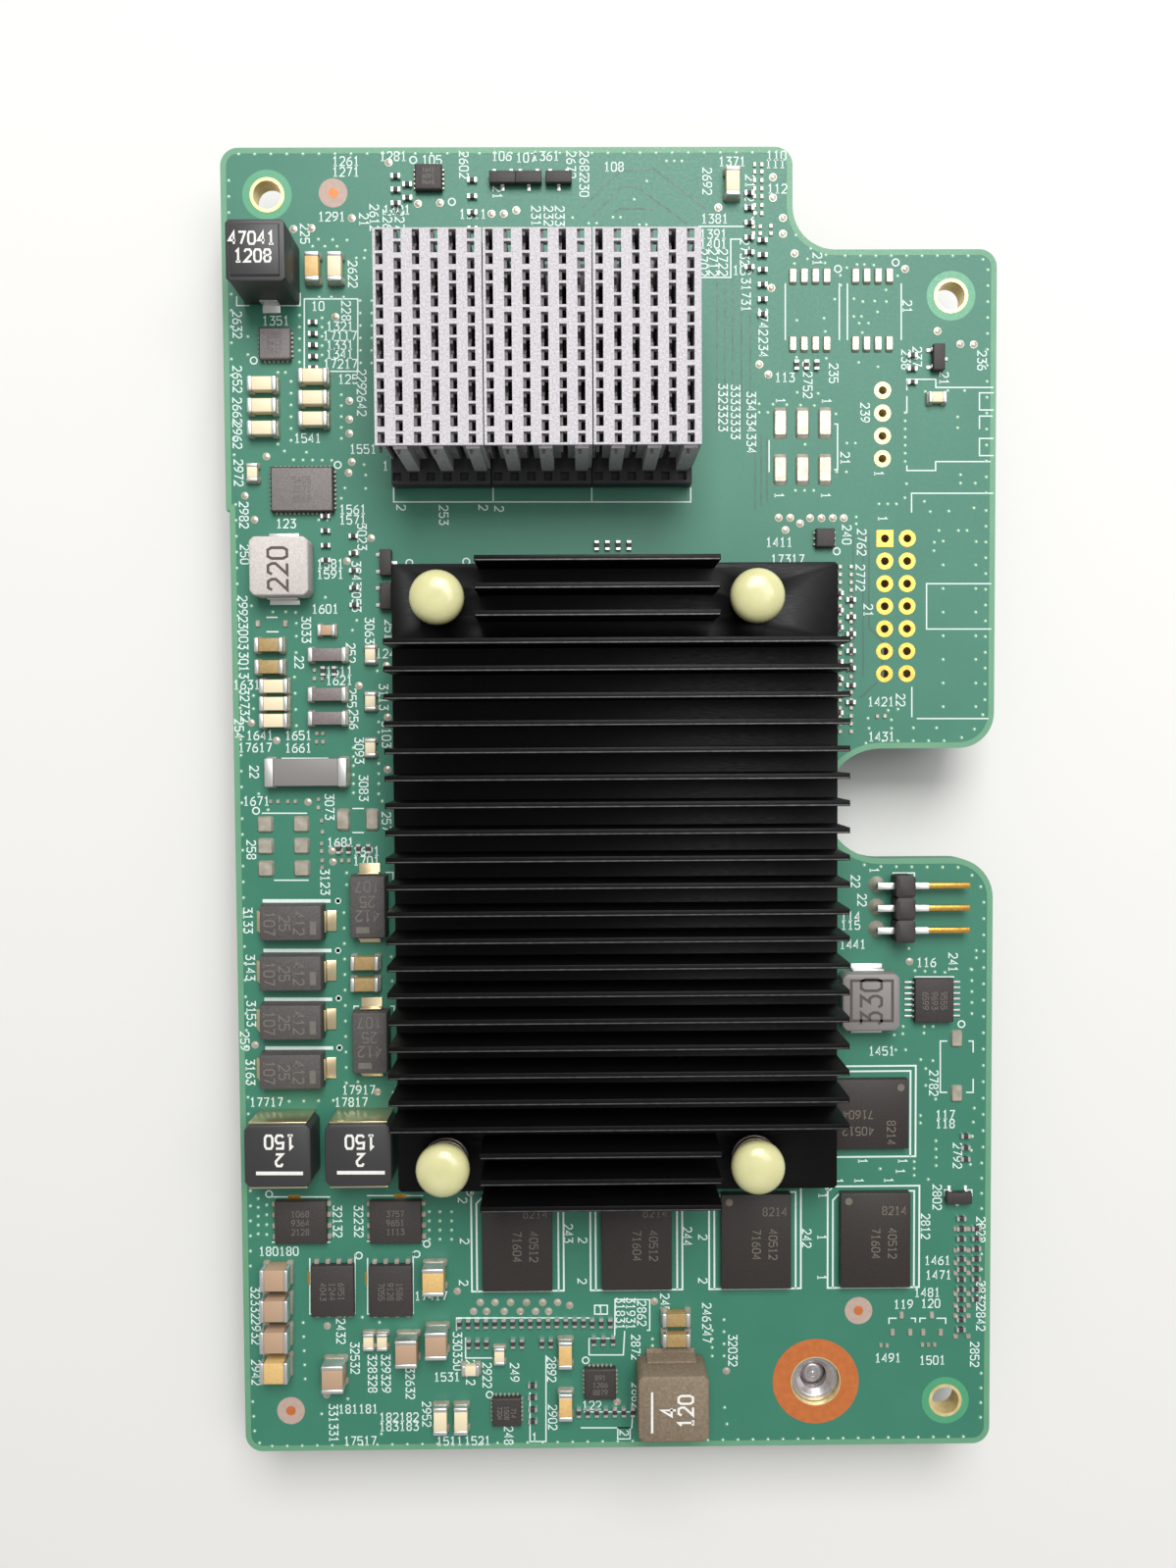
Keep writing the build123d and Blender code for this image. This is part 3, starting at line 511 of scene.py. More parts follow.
# Each finish: label, what it is, its two shades on a screen and its texture where that isn't usual
FINISHES = {
    "solder_mask": ("Solder mask", "Green lacquer over the copper", (48, 110, 90), (58, 120, 98), dict(
        grain=6.0, specular=0.4, roughness=0.45, relief=0.004, fine=20.0, spread=0.05)),
    "bare_rim": ("Rim", "Lacquer on bare laminate along the edge", (86, 138, 108), (100, 150, 118), dict(
        grain=2.5, relief=0.004, fine=10.0)),
    "track_edge": ("Tracks", "Shaded sides of buried tracks", (46, 88, 74), (58, 96, 84), dict(
        grain=3.0, roughness=0.45, relief=0.002)),
    "silk_print": ("White print", "Printed lines and numerals", (214, 228, 222), (198, 214, 208), dict(
        grain=0.35, contrast=0.7, roughness=0.7, relief=0.006)),
    "bright_solder": ("Solder", "Bright solder on pads", (194, 188, 174), (150, 142, 126), dict(
        grain=0.9, contrast=0.8, roughness=0.34, metallic=0.4)),
    "gold_plate": ("Gold", "Gold plated pads and pins", (232, 182, 92), (196, 142, 62), dict(
        contrast=0.8, roughness=0.32, metallic=0.9)),
    "pale_plate": ("Hole walls", "Pale plating inside the large holes", (240, 226, 168), (206, 178, 120), dict(
        grain=0.8, contrast=0.8, roughness=0.4, metallic=0.5)),
    "copper": ("Copper", "Bare copper ring", (208, 122, 66), (184, 100, 50), dict(
        grain=0.7, contrast=0.7, roughness=0.45, metallic=0.35, relief=0.012)),
    "connector_shell": ("Connector", "Grey moulded connector face", (206, 202, 206), (150, 147, 151), dict(
        grain=0.2, contrast=1.0, roughness=0.62, relief=0.012)),
    "connector_seat": ("Connector seat", "Black seat under the housings", (26, 26, 28), (14, 14, 16), dict(
        grain=0.3, contrast=0.6, roughness=0.55)),
    "contact_metal": ("Contacts", "Contact blades in the slots", (104, 99, 101), (72, 68, 70), dict(
        contrast=0.8, roughness=0.55, metallic=0.2)),
    "black_anodise": ("Heat sink", "Black anodised extrusion", (11, 10, 10), (5, 5, 5), dict(
        grain=0.5, contrast=0.7, specular=0.15, roughness=0.4, relief=0.006, stretch=(0.12, 1.0, 1.0))),
    "nylon": ("Push pins", "Pale yellow nylon", (206, 202, 154), (190, 187, 132), dict(
        grain=1.6, contrast=0.6, roughness=0.3, coat=0.3)),
    "spring_wire": ("Springs", "Dark spring wire", (122, 106, 88), (44, 36, 28), dict(
        grain=0.5, contrast=0.7, roughness=0.35, metallic=0.9, relief=0.006)),
    "mould_black": ("Chips", "Charcoal moulding compound", (62, 57, 54), (34, 31, 30), dict(
        grain=0.14, contrast=0.9, roughness=0.62, relief=0.02)),
    "memory_black": ("Memory chips", "Brown black moulding compound", (52, 45, 41), (32, 27, 25), dict(
        grain=0.2, contrast=0.9, relief=0.012)),
    "ferrite_black": ("Black inductors", "Pressed black powder", (84, 80, 77), (58, 55, 53), dict(
        grain=0.18, contrast=0.9, roughness=0.7, relief=0.03)),
    "ferrite_grey": ("Grey inductors", "Pressed grey powder", (146, 135, 128), (110, 100, 94), dict(
        grain=0.25, contrast=0.9, roughness=0.75, relief=0.03)),
    "ferrite_brown": ("Brown inductor", "Pressed brown powder", (136, 120, 100), (104, 90, 74), dict(
        grain=0.3, contrast=0.9, roughness=0.65, relief=0.03)),
    "tinned": ("Tinned metal", "Bright end caps and leads", (236, 232, 222), (200, 194, 182), dict(
        grain=0.6, contrast=0.7, roughness=0.3, metallic=0.5, relief=0.006)),
    "brass_strap": ("Straps", "Brassy metal strips", (196, 172, 126), (150, 128, 90), dict(
        grain=0.6, contrast=0.8, roughness=0.35, metallic=0.85)),
    "polymer_black": ("Polymer capacitors", "Charcoal cases", (88, 84, 82), (58, 55, 54), dict(
        grain=0.15, contrast=0.9, roughness=0.6, relief=0.02)),
    "ceramic_brown": ("Brown ceramic", "Large chip capacitors", (94, 66, 50), (72, 50, 39), dict(
        grain=0.25, contrast=0.7, relief=0.012)),
    "ceramic_amber": ("Amber ceramic", "Glossier chip capacitors", (218, 184, 122), (196, 158, 96), dict(
        grain=0.3, contrast=0.7, relief=0.012)),
    "ceramic_olive": ("Olive ceramic", "Darker chip capacitors", (172, 146, 96), (140, 114, 70), dict(
        grain=0.3, contrast=0.7, relief=0.012)),
    "ceramic_cream": ("Cream ceramic", "Smaller chip capacitors", (222, 200, 148), (204, 176, 120), dict(
        grain=0.3, contrast=0.7, relief=0.012)),
    "package_green": ("Processor package", "Dark green substrate", (36, 66, 38), (28, 54, 30), dict(
        grain=2.0, relief=0.004)),
    "nickel": ("Processor lid", "Satin nickel", (176, 176, 174), (150, 150, 148), dict(
        grain=0.8, roughness=0.35, metallic=1.0, relief=0.004)),
    "pad_grey": ("Thermal pad", "Soft grey pad", (146, 152, 160), (128, 134, 142), dict(
        grain=0.5, contrast=0.6, roughness=0.9, relief=0.02)),
    "steel": ("Captive screw", "Bright steel", (216, 212, 212), (176, 170, 172), dict(
        grain=1.2, roughness=0.36, metallic=0.9, relief=0.002)),
    "chip_mark": ("Chip marks", "Grey marks on black chips", (112, 106, 100), (96, 90, 84), dict(
        grain=0.3, contrast=0.6, roughness=0.7, relief=0.003)),
    "memory_mark": ("Memory marks", "Faint marks on memory chips", (116, 108, 98), (92, 85, 77), dict(
        grain=0.3, contrast=0.6, roughness=0.6, relief=0.003)),
    "via_cap": ("Vias", "Lacquer raised over the vias", (104, 156, 130), (84, 138, 112), dict(
        grain=0.5, contrast=0.6, roughness=0.35, relief=0.004)),
    # Via tops: the vias' own pale plugs, with a painted highlight in their shift toward the upper right
    "via_plug": ("Via tops", "Light tops of the vias", (226, 236, 206), (206, 222, 190), dict(
        grain=0.5, contrast=0.6, roughness=0.35, relief=0.004)),
    "bright_mask": ("Halos", "Lacquer round the mounting holes", (66, 142, 104), (78, 152, 112), dict(
        grain=1.5, roughness=0.35, relief=0.004)),
    "bare_disc": ("Fiducial discs", "Bare laminate round the fiducials", (182, 158, 146), (160, 138, 126), dict(
        grain=0.5, contrast=0.6, roughness=0.6, relief=0.004)),
    # Painted highlight: two controller chips get lighter tops that stand for the lamp's gloss on them
    "painted_chip_highlight": ("Glossy chips", "Lighter tops of two controller chips", (126, 118, 116), (90, 86, 86), dict(
        grain=0.14, contrast=0.9, relief=0.02)),
    "bead_grey": ("Ferrite beads", "Dark grey chip bodies", (128, 118, 116), (104, 94, 94), dict(
        grain=0.3, contrast=0.9)),
    "ferrite_pale": ("Pale inductor", "Light pressed powder", (206, 199, 194), (176, 168, 164), dict(
        grain=0.2, contrast=0.9, roughness=0.75, relief=0.03)),
    "engraved": ("Engraved marks", "Dark numerals pressed into the inductors", (86, 76, 72), (70, 60, 56), dict(
        grain=0.3, contrast=0.6, roughness=0.7, relief=0.003)),
    # Painted highlight: a light line along each fin tip stands for the light caught by the fins' edges
    "painted_fin_highlight": ("Fin edges", "Anodise worn thin along the fin tips", (112, 110, 110), (70, 68, 68), dict(
        grain=0.7, contrast=0.9, roughness=0.35, metallic=0.6, relief=0.003)),
    "white_mark": ("Part marks", "White marks on inductors", (232, 230, 224), (208, 206, 200), dict(
        grain=0.3, contrast=0.6, roughness=0.7, relief=0.004)),
}


class CardColours(bpy.types.PropertyGroup):
    """First shade of every finish of the card"""
    __annotations__ = {name: tone(label, text, shade) for name, (label, text, shade, *_) in FINISHES.items()}


class CardSizes(bpy.types.PropertyGroup):
    """Sizes that are not set by the solids"""
    rim_width: distance("Rim width", "Bare laminate along the board's edge", 0.65)
    print_width: distance("Line width", "Printed lines on the board", 0.15)
    numeral_height: distance("Numeral height", "Printed numerals on the board", 0.95)
    via_radius: distance("Via radius", "Outer radius of a via", 0.24)
    edge_round: distance("Edge rounding", "Rounding of moulded edges", 0.12)
    first_number: IntProperty(name="First number", description="First printed part number",
                              default=101, min=0, max=999)


def board_outline():
    """The board's outer edge as a loop of points at the top, from the frame."""
    shape = bmesh.new()
    shape.from_mesh(frame["nodes"]["circuit_board"].data)
    bmesh.ops.remove_doubles(shape, verts=shape.verts, dist=WELD)
    top = BOARD_TOP * MM
    faces = {f for f in shape.faces if f.normal.z > UPWARD and abs(f.calc_center_median().z - top) < WELD}
    border = {}
    for edge in shape.edges:
        if sum(f in faces for f in edge.link_faces) == 1:
            for point in edge.verts:
                border.setdefault(point, []).append(edge.other_vert(point))
    loops = []
    while border:
        start = next(iter(border))
        loop, here, before = [], start, None
        while here in border:
            loop.append((here.co.x / MM, here.co.y / MM))
            ways = border.pop(here)
            onward = [w for w in ways if w is not before and w in border]
            before, here = here, onward[0] if onward else start
        loops.append(loop)
    shape.free()
    widest = max(loops, key=lambda loop: max(p[0] for p in loop) - min(p[0] for p in loop))
    area = sum(a[0] * b[1] - b[0] * a[1] for a, b in zip(widest, widest[1:] + widest[:1]))
    return widest if area > 0 else widest[::-1]


class CARD_OT_board(bpy.types.Operator):
    """Green lacquer and the paler rim of bare laminate along the board's edge"""
    bl_idname = "card.board"
    bl_label = "Board"

    def execute(self, context):
        sizes = context.scene.card_sizes
        paint("circuit_board", finish("solder_mask"))
        outline = board_outline()
        rim = new_piece("board_rim", [(x, y, BOARD_TOP + TRACK_LEVEL) for x, y in outline],
                        (), [tuple(range(len(outline)))])
        with editing(rim):
            bpy.ops.mesh.select_all(action="SELECT")
            bpy.ops.mesh.inset(thickness=sizes.rim_width)
            bpy.ops.mesh.delete(type="FACE")
        dress(rim, finish("bare_rim"), "laminate")
        return {"FINISHED"}


# Start of the node's name: finish, record slot and the rounding of its edges, where the first
# that fits counts. No rounding keeps the solid itself, and None takes the size above
PART_FINISHES = {
    "network_processor": ("package_green", "chip_substrate", 0),
    "processor_lid": ("nickel", "nickel_lid", 0),
    "thermal_pad": ("pad_grey", "thermal_pad", 0),
    "heat_sink": ("black_anodise", "black_anodised", 0.1),
    "connector_housing": ("connector_shell", "connector_face", 0),
    "connector_organiser": ("connector_seat", "connector_seat", 0.08),
    "connector_wafers": ("contact_metal", "contact_blade", 0),
    "tall_inductor_terminals": ("tinned", "tinned", 0.04),
    "tall_inductor": ("ferrite_black", "ferrite_black", 0.25),
    "square_inductor_terminals": ("tinned", "tinned", 0.05),
    "square_inductor": ("ferrite_pale", "ferrite_grey", 0.2),
    # The output inductor's terminals take the body's brown: partly the dark clips at its left and lower sides, partly
    # painted shade for the brownish shadow along the body's top edge where they rise
    "output_inductor_terminals": ("ferrite_brown", "tinned", 0.05),
    "output_inductor": ("ferrite_brown", "ferrite_grey", 0.2),
    "edge_inductor_terminals": ("tinned", "tinned", 0.05),
    "edge_inductor": ("ferrite_grey", "ferrite_grey", 0.2),
    "block_inductor_straps": ("brass_strap", "brass_strap", 0.05),
    "block_inductor": ("ferrite_black", "ferrite_black", 0.18),
    "polymer_capacitors": ("polymer_black", "polymer_case", None),
    "polymer_capacitor_terminals": ("brass_strap", "brass_strap", 0.04),
    "large_ceramics_end_caps": ("tinned", "tinned", 0.14),
    "large_ceramics": ("ceramic_brown", "ceramic_brown", 0.06),
    "medium_ceramics_end_caps": ("tinned", "tinned", 0.12),
    "medium_ceramics": ("ceramic_cream", "ceramic_cream", 0.05),
    "small_ceramics_end_caps": ("tinned", "tinned", 0.1),
    "small_ceramics": ("ceramic_cream", "ceramic_cream", 0.05),
    "ferrite_beads_end_caps": ("tinned", "tinned", 0.1),
    "ferrite_beads": ("ferrite_grey", "ferrite_grey", 0.06),
    "long_ferrite_end_caps": ("tinned", "tinned", 0.12),
    "long_ferrite": ("ferrite_grey", "ferrite_grey", 0.1),
    "tiny_chip_parts": ("mould_black", "chip_black", 0.05),
    "controller_chips": ("mould_black", "chip_black", 0.05),
    "power_transistors": ("mould_black", "chip_black", 0.1),
    "power_transistor_leads": ("tinned", "tinned", 0.06),
    "small_transistor_legs": ("tinned", "tinned", 0.03),
    "small_transistors": ("mould_black", "chip_black", 0.08),
    "management_chip_legs": ("tinned", "tinned", 0.03),
    "management_chip": ("mould_black", "chip_black", 0.08),
    "memory_chip": ("memory_black", "chip_black", 0.08),
    "pin_row_pins": ("gold_plate", "gold_pin", 0.08),
    "underside_capacitors": ("ceramic_brown", "ceramic_brown", 0.06),
    "captive_screw_ferrule": ("steel", "bright_steel", 0),
    "captive_screw_spring": ("spring_wire", "spring_wire", 0),
    "captive_screw": ("steel", "bright_steel", 0.08),
}


class CARD_OT_parts(bpy.types.Operator):
    """Rounded edges and finishes of the moulded and ceramic parts"""
    bl_idname = "card.parts"
    bl_label = "Parts"

    def execute(self, context):
        edge = context.scene.card_sizes.edge_round / MM
        for node in frame["nodes"]:
            for start, (finish_name, slot, width) in PART_FINISHES.items():
                if node.startswith(start):
                    width = edge if width is None else width
                    if width:
                        softened(node, width, finish(finish_name), slot)
                    else:
                        paint(node, finish(finish_name))
                    break
        return {"FINISHED"}


# Holes and bare metal, in millimetres
MOUNT_HOLES = [(-38.2, 68.9), (38.2, 57.6), (38.2, -68.9)]
HEADER_FIRST, HEADER_PITCH, HEADER_COLUMNS, HEADER_ROWS = (30.85, 30.58), 2.54, 2, 7
SINGLE_ROW_FIRST, SINGLE_ROW_COUNT = (30.54, 47.14), 4
FIDUCIALS = [(-30.85, 69.09), (-37.67, -69.28), (28.08, -58.19)]
PLATE = 0.03

# Bare pads in millimetres: x, y, width, depth
BARE_PADS = (
    [(x, y, 1.6, 3.5) for x in (18.99, 21.5, 24.04) for y in (43.52, 38.32)]
    + [(x0 + 1.27 * k, y, 0.9, 1.9) for x0 in (20.41, 27.43) for k in range(4) for y in (59.79, 52.29)]
    + [(x, y, 1.9, 1.9) for x in (-39.51, -35.44) for y in (-1.33, -3.8, -6.37)]
    + [(-30.69, -0.85, 1.6, 2.6), (-27.38, -0.87, 1.6, 2.6), (39.26, -26.5, 1.4, 2.0), (39.3, -32.88, 1.4, 2.0)]
)
# Smaller bare pads in pixels: u, v, width and depth in millimetres
SMALL_PADS_PX = (
    [(u, v, 0.55, 0.85) for u, v in ((918.9, 1341), (909.8, 1358.5), (927.7, 1358.5), (949.8, 1341),
                                     (941, 1358.5), (958.8, 1358.5), (263, 636), (291.2, 636))]
    + [(u, v, 0.6, 0.55) for v in (1253, 1275, 1287.5, 1298, 1319, 1331, 1341.5, 1362.5) for u in (974, 987)]
    + [(u, v, 0.4, 0.55) for v in (168.3, 175.6, 184.4, 192.7, 200.7, 209.8, 218) for u in (769.2, 776.6)]
    + [(u, v, 0.45, 0.5) for u, v in (
        (768, 231.5), (775, 231.5), (768, 238.5), (775, 238.5), (785.8, 231), (785.8, 238.5),
        (897.8, 1371.5), (904.1, 1371.9), (940, 1371), (946.3, 1371), (952.5, 1371),
        (276.1, 817.3), (283.7, 817.3), (293.7, 817.3), (301.3, 817.3), (348.6, 867.6), (355.9, 867.6),
        (348.6, 877.5), (355.9, 877.5), (328.1, 837), (329, 848.4), (328.1, 860.3), (328.1, 868),
        (328.6, 877.5), (328.6, 884.8), (320.8, 683.5), (328.7, 683.5), (320.8, 692.1), (328.7, 692.1),
        (323.3, 748), (329.4, 748), (323, 756.6), (329.4, 756.6), (324.8, 815), (324.8, 823.6),
        (894.2, 730.5), (901.9, 730.2))]
    + [(u, 578 + 8 * k, 0.45, 0.5) for k in range(22) for u in (856.4, 867.6)]
)
COPPER_PADS_PX = [(300.1, 1220.5, 1.45, 0.45), (407.9, 1219.5, 1.45, 0.45), (314.9, 1303.6, 0.25, 1.6),
                  (373.3, 1303.6, 0.25, 1.6)]
TEST_PADS_PX = [
    (299.4, 233.7), (317.6, 232.8), (358.7, 222.6), (396.4, 165.8), (426.2, 207.9), (448.6, 207), (501.2, 218.1),
    (513.7, 218.1), (526.4, 214.6), (342.1, 323.3), (356.2, 409), (356.2, 427.8), (356.2, 442.1), (271.7, 465.6),
    (358.7, 471.2), (355.4, 482.3), (249.7, 505.6), (259.6, 530.1), (378.4, 548.8), (362.5, 564), (353.9, 572.2),
    (394.1, 678.9), (732.4, 211.7), (774.2, 371.7), (783.4, 382), (788.1, 180.8), (788.1, 201.8), (798.3, 222.3),
    (798.3, 238.5), (810.1, 258.6), (786.4, 293.7), (922.7, 274.5), (821.8, 371.5), (955.8, 337.7), (979.1, 351),
    (992.7, 351.4), (793.9, 528.1), (805.6, 528.1), (815.6, 533.8), (825.8, 528.4), (837.5, 528.4), (849, 528.4),
    (860.2, 528.4), (800.8, 540.5), (366, 699.2), (282.2, 755.1), (256.3, 737.1), (395.1, 731.4), (395.1, 784.7),
    (314.3, 817.8), (338.6, 867.6), (339.6, 878.7), (260.2, 1065.5), (384.9, 1113.3), (927.3, 980.4),
    (333.7, 1352), (333.3, 1422.2), (466.2, 1316.5), (667.1, 1326.9), (629.2, 1429.4), (740.6, 1397.8),
    (489.6, 1328), (504.7, 1328), (520.6, 1328), (536.9, 1328), (553.3, 1328), (568.6, 1328), (580.8, 1331),
    (482.9, 1337.1), (496.1, 1337.1), (514.1, 1337.1), (530.4, 1337.1), (546.1, 1337.1), (559.4, 1337.1),
]
PRINT_CIRCLES_PX = [
    (421.3, 163.3), (258.8, 367.7), (344.4, 474.2), (854.3, 274.3), (913.1, 267.8), (853, 562.2), (417.4, 574.1),
    (475.4, 572.8), (261.1, 826.8), (980.2, 1044.3), (844.8, 1210.3), (274.4, 1217.6), (435.1, 1268.4),
    (365.9, 1280.3), (424.7, 1278.9), (479.2, 1215.7), (499.2, 1422.2), (597.1, 1387.1), (460.7, 206),
]
# Rows of vias in pixels: first, last and how many
VIA_ROWS_PX = [
    ((243, 157.3), (766.9, 155.7), 33), ((233, 184.4), (233, 217.1), 3), ((235.7, 300.3), (235.7, 383), 6),
    ((237.8, 431.6), (238.5, 464.1), 3), ((240, 514.8), (243, 676.8), 11), ((244, 690), (248.1, 915.8), 15),
    ((248.3, 931.5), (253, 1136.3), 13), ((255.2, 1214.6), (255.2, 1291.3), 6), ((257.6, 1429.6), (259.5, 1459.4), 3),
    ((277.3, 1475), (982, 1465.2), 47), ((1000.7, 1186.3), (1000.5, 1310), 9), ((1000.2, 1400.6), (999.5, 1445.6), 4),
    ((1002.9, 920.5), (1002.1, 1170), 16), ((1007.2, 275.5), (1005.3, 503), 15), ((1005.2, 521), (1004, 713.9), 13),
    ((861.4, 261.1), (986.9, 261.1), 9), ((961.4, 576.5), (961.4, 721), 7), ((994.7, 576.5), (994.7, 721), 7),
    ((305.1, 321.8), (305.1, 369.6), 5), ((328.1, 324.6), (328.1, 362.3), 5), ((366.9, 307), (367.5, 370.5), 6),
    ((378.8, 307), (378.8, 370.5), 6), ((296.5, 389.3), (296.5, 449.4), 6), ((347.8, 402.9), (347.8, 447.4), 5),
    ((299, 469.3), (338, 469.8), 5), ((360.2, 762.9), (360.2, 808.8), 6), ((386, 779), (386, 809.8), 4),
    ((350.5, 931), (353, 1104.7), 12), ((294.6, 1123.3), (339.6, 1122.5), 4), ((990.7, 989.1), (990.7, 1033.9), 5),
    ((932.7, 990.2), (963.2, 992), 4), ((954.1, 1163.7), (954.3, 1188.9), 4), ((931.9, 1184.9), (931.9, 1198.8), 3),
    ((309, 1349), (311, 1406.4), 5), ((263.1, 1222.5), (263.1, 1258.5), 5), ((271.8, 1229), (271.8, 1259.1), 4),
    ((437.5, 1235.8), (437.5, 1264), 4), ((448.4, 1235.8), (448.4, 1264), 4), ((460.3, 1235.8), (460.3, 1264), 4),
    ((922.7, 421.3), (922.7, 471), 7), ((679.3, 164.5), (695, 164.5), 3), ((896, 514.3), (913.8, 514.3), 3),
    ((665.1, 1365.7), (665.1, 1379.4), 3), ((726, 1357), (726, 1383), 4), ((738, 1346), (738, 1383), 4),
    ((324.3, 244.3), (353.5, 245.2), 3), ((318.5, 251.5), (343.4, 251.5), 3), ((325.2, 303.2), (350.1, 303.2), 3),
    ((899.6, 756), (962.3, 755.8), 5), ((898, 884.1), (976.6, 884.8), 6), ((993.2, 1130.3), (989.2, 1187.7), 5),
    ((300, 690.8), (302, 740.4), 4), ((773.8, 412.2), (830.1, 414), 5), ((810.8, 500.5), (829.4, 500.5), 3),
]
SINGLE_VIAS_PX = [
    (264.5, 1471.7), (1002.1, 265), (841.9, 260.2), (826.4, 253.9), (811.3, 240.1), (882.7, 758.3), (980.3, 752.5),
    (993.3, 743.9), (1001.9, 729.2), (881.1, 882.3), (990.9, 892.9), (999.8, 904.5), (331, 251.5), (372.1, 255.7),
    (363.1, 263.4), (371.1, 263.4), (252.5, 343.4), (252.5, 361.9), (283.1, 380.1), (290.8, 380.1), (659.2, 185),
    (646.4, 203.7), (583.6, 222.3), (624.7, 221.9), (632.4, 221.9), (600.1, 228), (608.1, 228), (651.7, 229.5),
    (658.8, 229.5), (823.1, 264.4), (809.8, 269.2), (840.9, 268.6), (863.3, 273.4), (873.7, 270.1), (881.1, 270.1),
    (890.7, 270.7), (856.6, 281.2), (857, 291.2), (915, 281.6), (903.1, 296), (850.9, 305.5), (870.4, 305),
    (879.6, 308), (891.6, 307.4), (903.5, 308), (894.5, 318.5), (870.4, 323.1), (878.1, 323.1), (875.8, 330),
    (885.3, 330), (812.2, 327), (840, 325), (841.3, 338.4), (879, 339.6), (812, 364.8), (842.3, 365.8), (875.4, 370),
    (894.9, 374.4), (812.6, 400.6), (834, 401.6), (943.3, 399.7), (966.1, 398.7), (983.3, 398.7), (976.2, 425.5),
    (976.2, 436.6), (979.2, 484.5), (979.2, 493.1), (994.2, 493.1), (924.1, 493.7), (922.4, 508), (942.2, 511.7),
    (948.2, 522.1), (967.3, 521.6), (992.8, 518.3), (957.2, 541.4), (977, 541.4), (985.8, 541.4), (952.4, 553.4),
    (961.5, 552.2), (952, 562), (995.1, 552.7), (773.8, 421), (782.7, 421), (852.1, 422.5), (820.6, 453.5),
    (863.3, 452.3), (871.9, 452.3), (853, 481.6), (862.8, 481.6), (872.8, 527.6), (872.8, 534.6), (884.8, 732.8),
    (908.6, 734.4), (885.8, 743), (908.8, 743), (905.3, 724.8), (915.3, 723.5), (931.1, 742.6), (954.7, 742.6),
    (995.2, 969.6), (995.2, 977), (989.8, 988.6), (920.7, 1047), (942.1, 1047), (951.1, 1047), (941.8, 1053.8),
    (926.4, 967.5), (938.6, 1080.8), (950.9, 1082), (943.7, 1090), (943.7, 1107.2), (953.8, 1121.1), (938.3, 1137.8),
    (938.3, 1145.5), (946.3, 1202.9), (897.2, 1192.1), (923.2, 1070.9), (913.1, 1070.9), (920.3, 1054.5),
    (911.5, 1055.7), (283.1, 453.2), (289.8, 460.3), (312.2, 461.6), (371.1, 474.2), (372.7, 484.8), (372.7, 498.5),
    (351.4, 498.1), (347.6, 508.5), (331.5, 609.5), (256.3, 618.1), (278, 624.2), (291.2, 624.2), (301.3, 624.8),
    (301.9, 635.9), (301.9, 649.1), (301.7, 665.9), (363.5, 633), (359.1, 643), (356.4, 582.7), (384.5, 675.1),
    (384.5, 684.5), (324.8, 530.5), (333.8, 530.5), (386, 710.1), (386, 736.5), (386, 747), (389.7, 817.3),
    (258.3, 709.7), (258.3, 723.1), (263.6, 809.8), (273.2, 826.1), (353.3, 890.5), (353.3, 902.6), (364.8, 1103.4),
    (400.8, 1114.3), (398.9, 976), (399.8, 1000.8), (327.8, 1442), (354.5, 1426.6), (369.3, 1343.5), (386.7, 1348.7),
    (388.7, 1462.4), (738.6, 1435.5), (741, 1452.4),
]
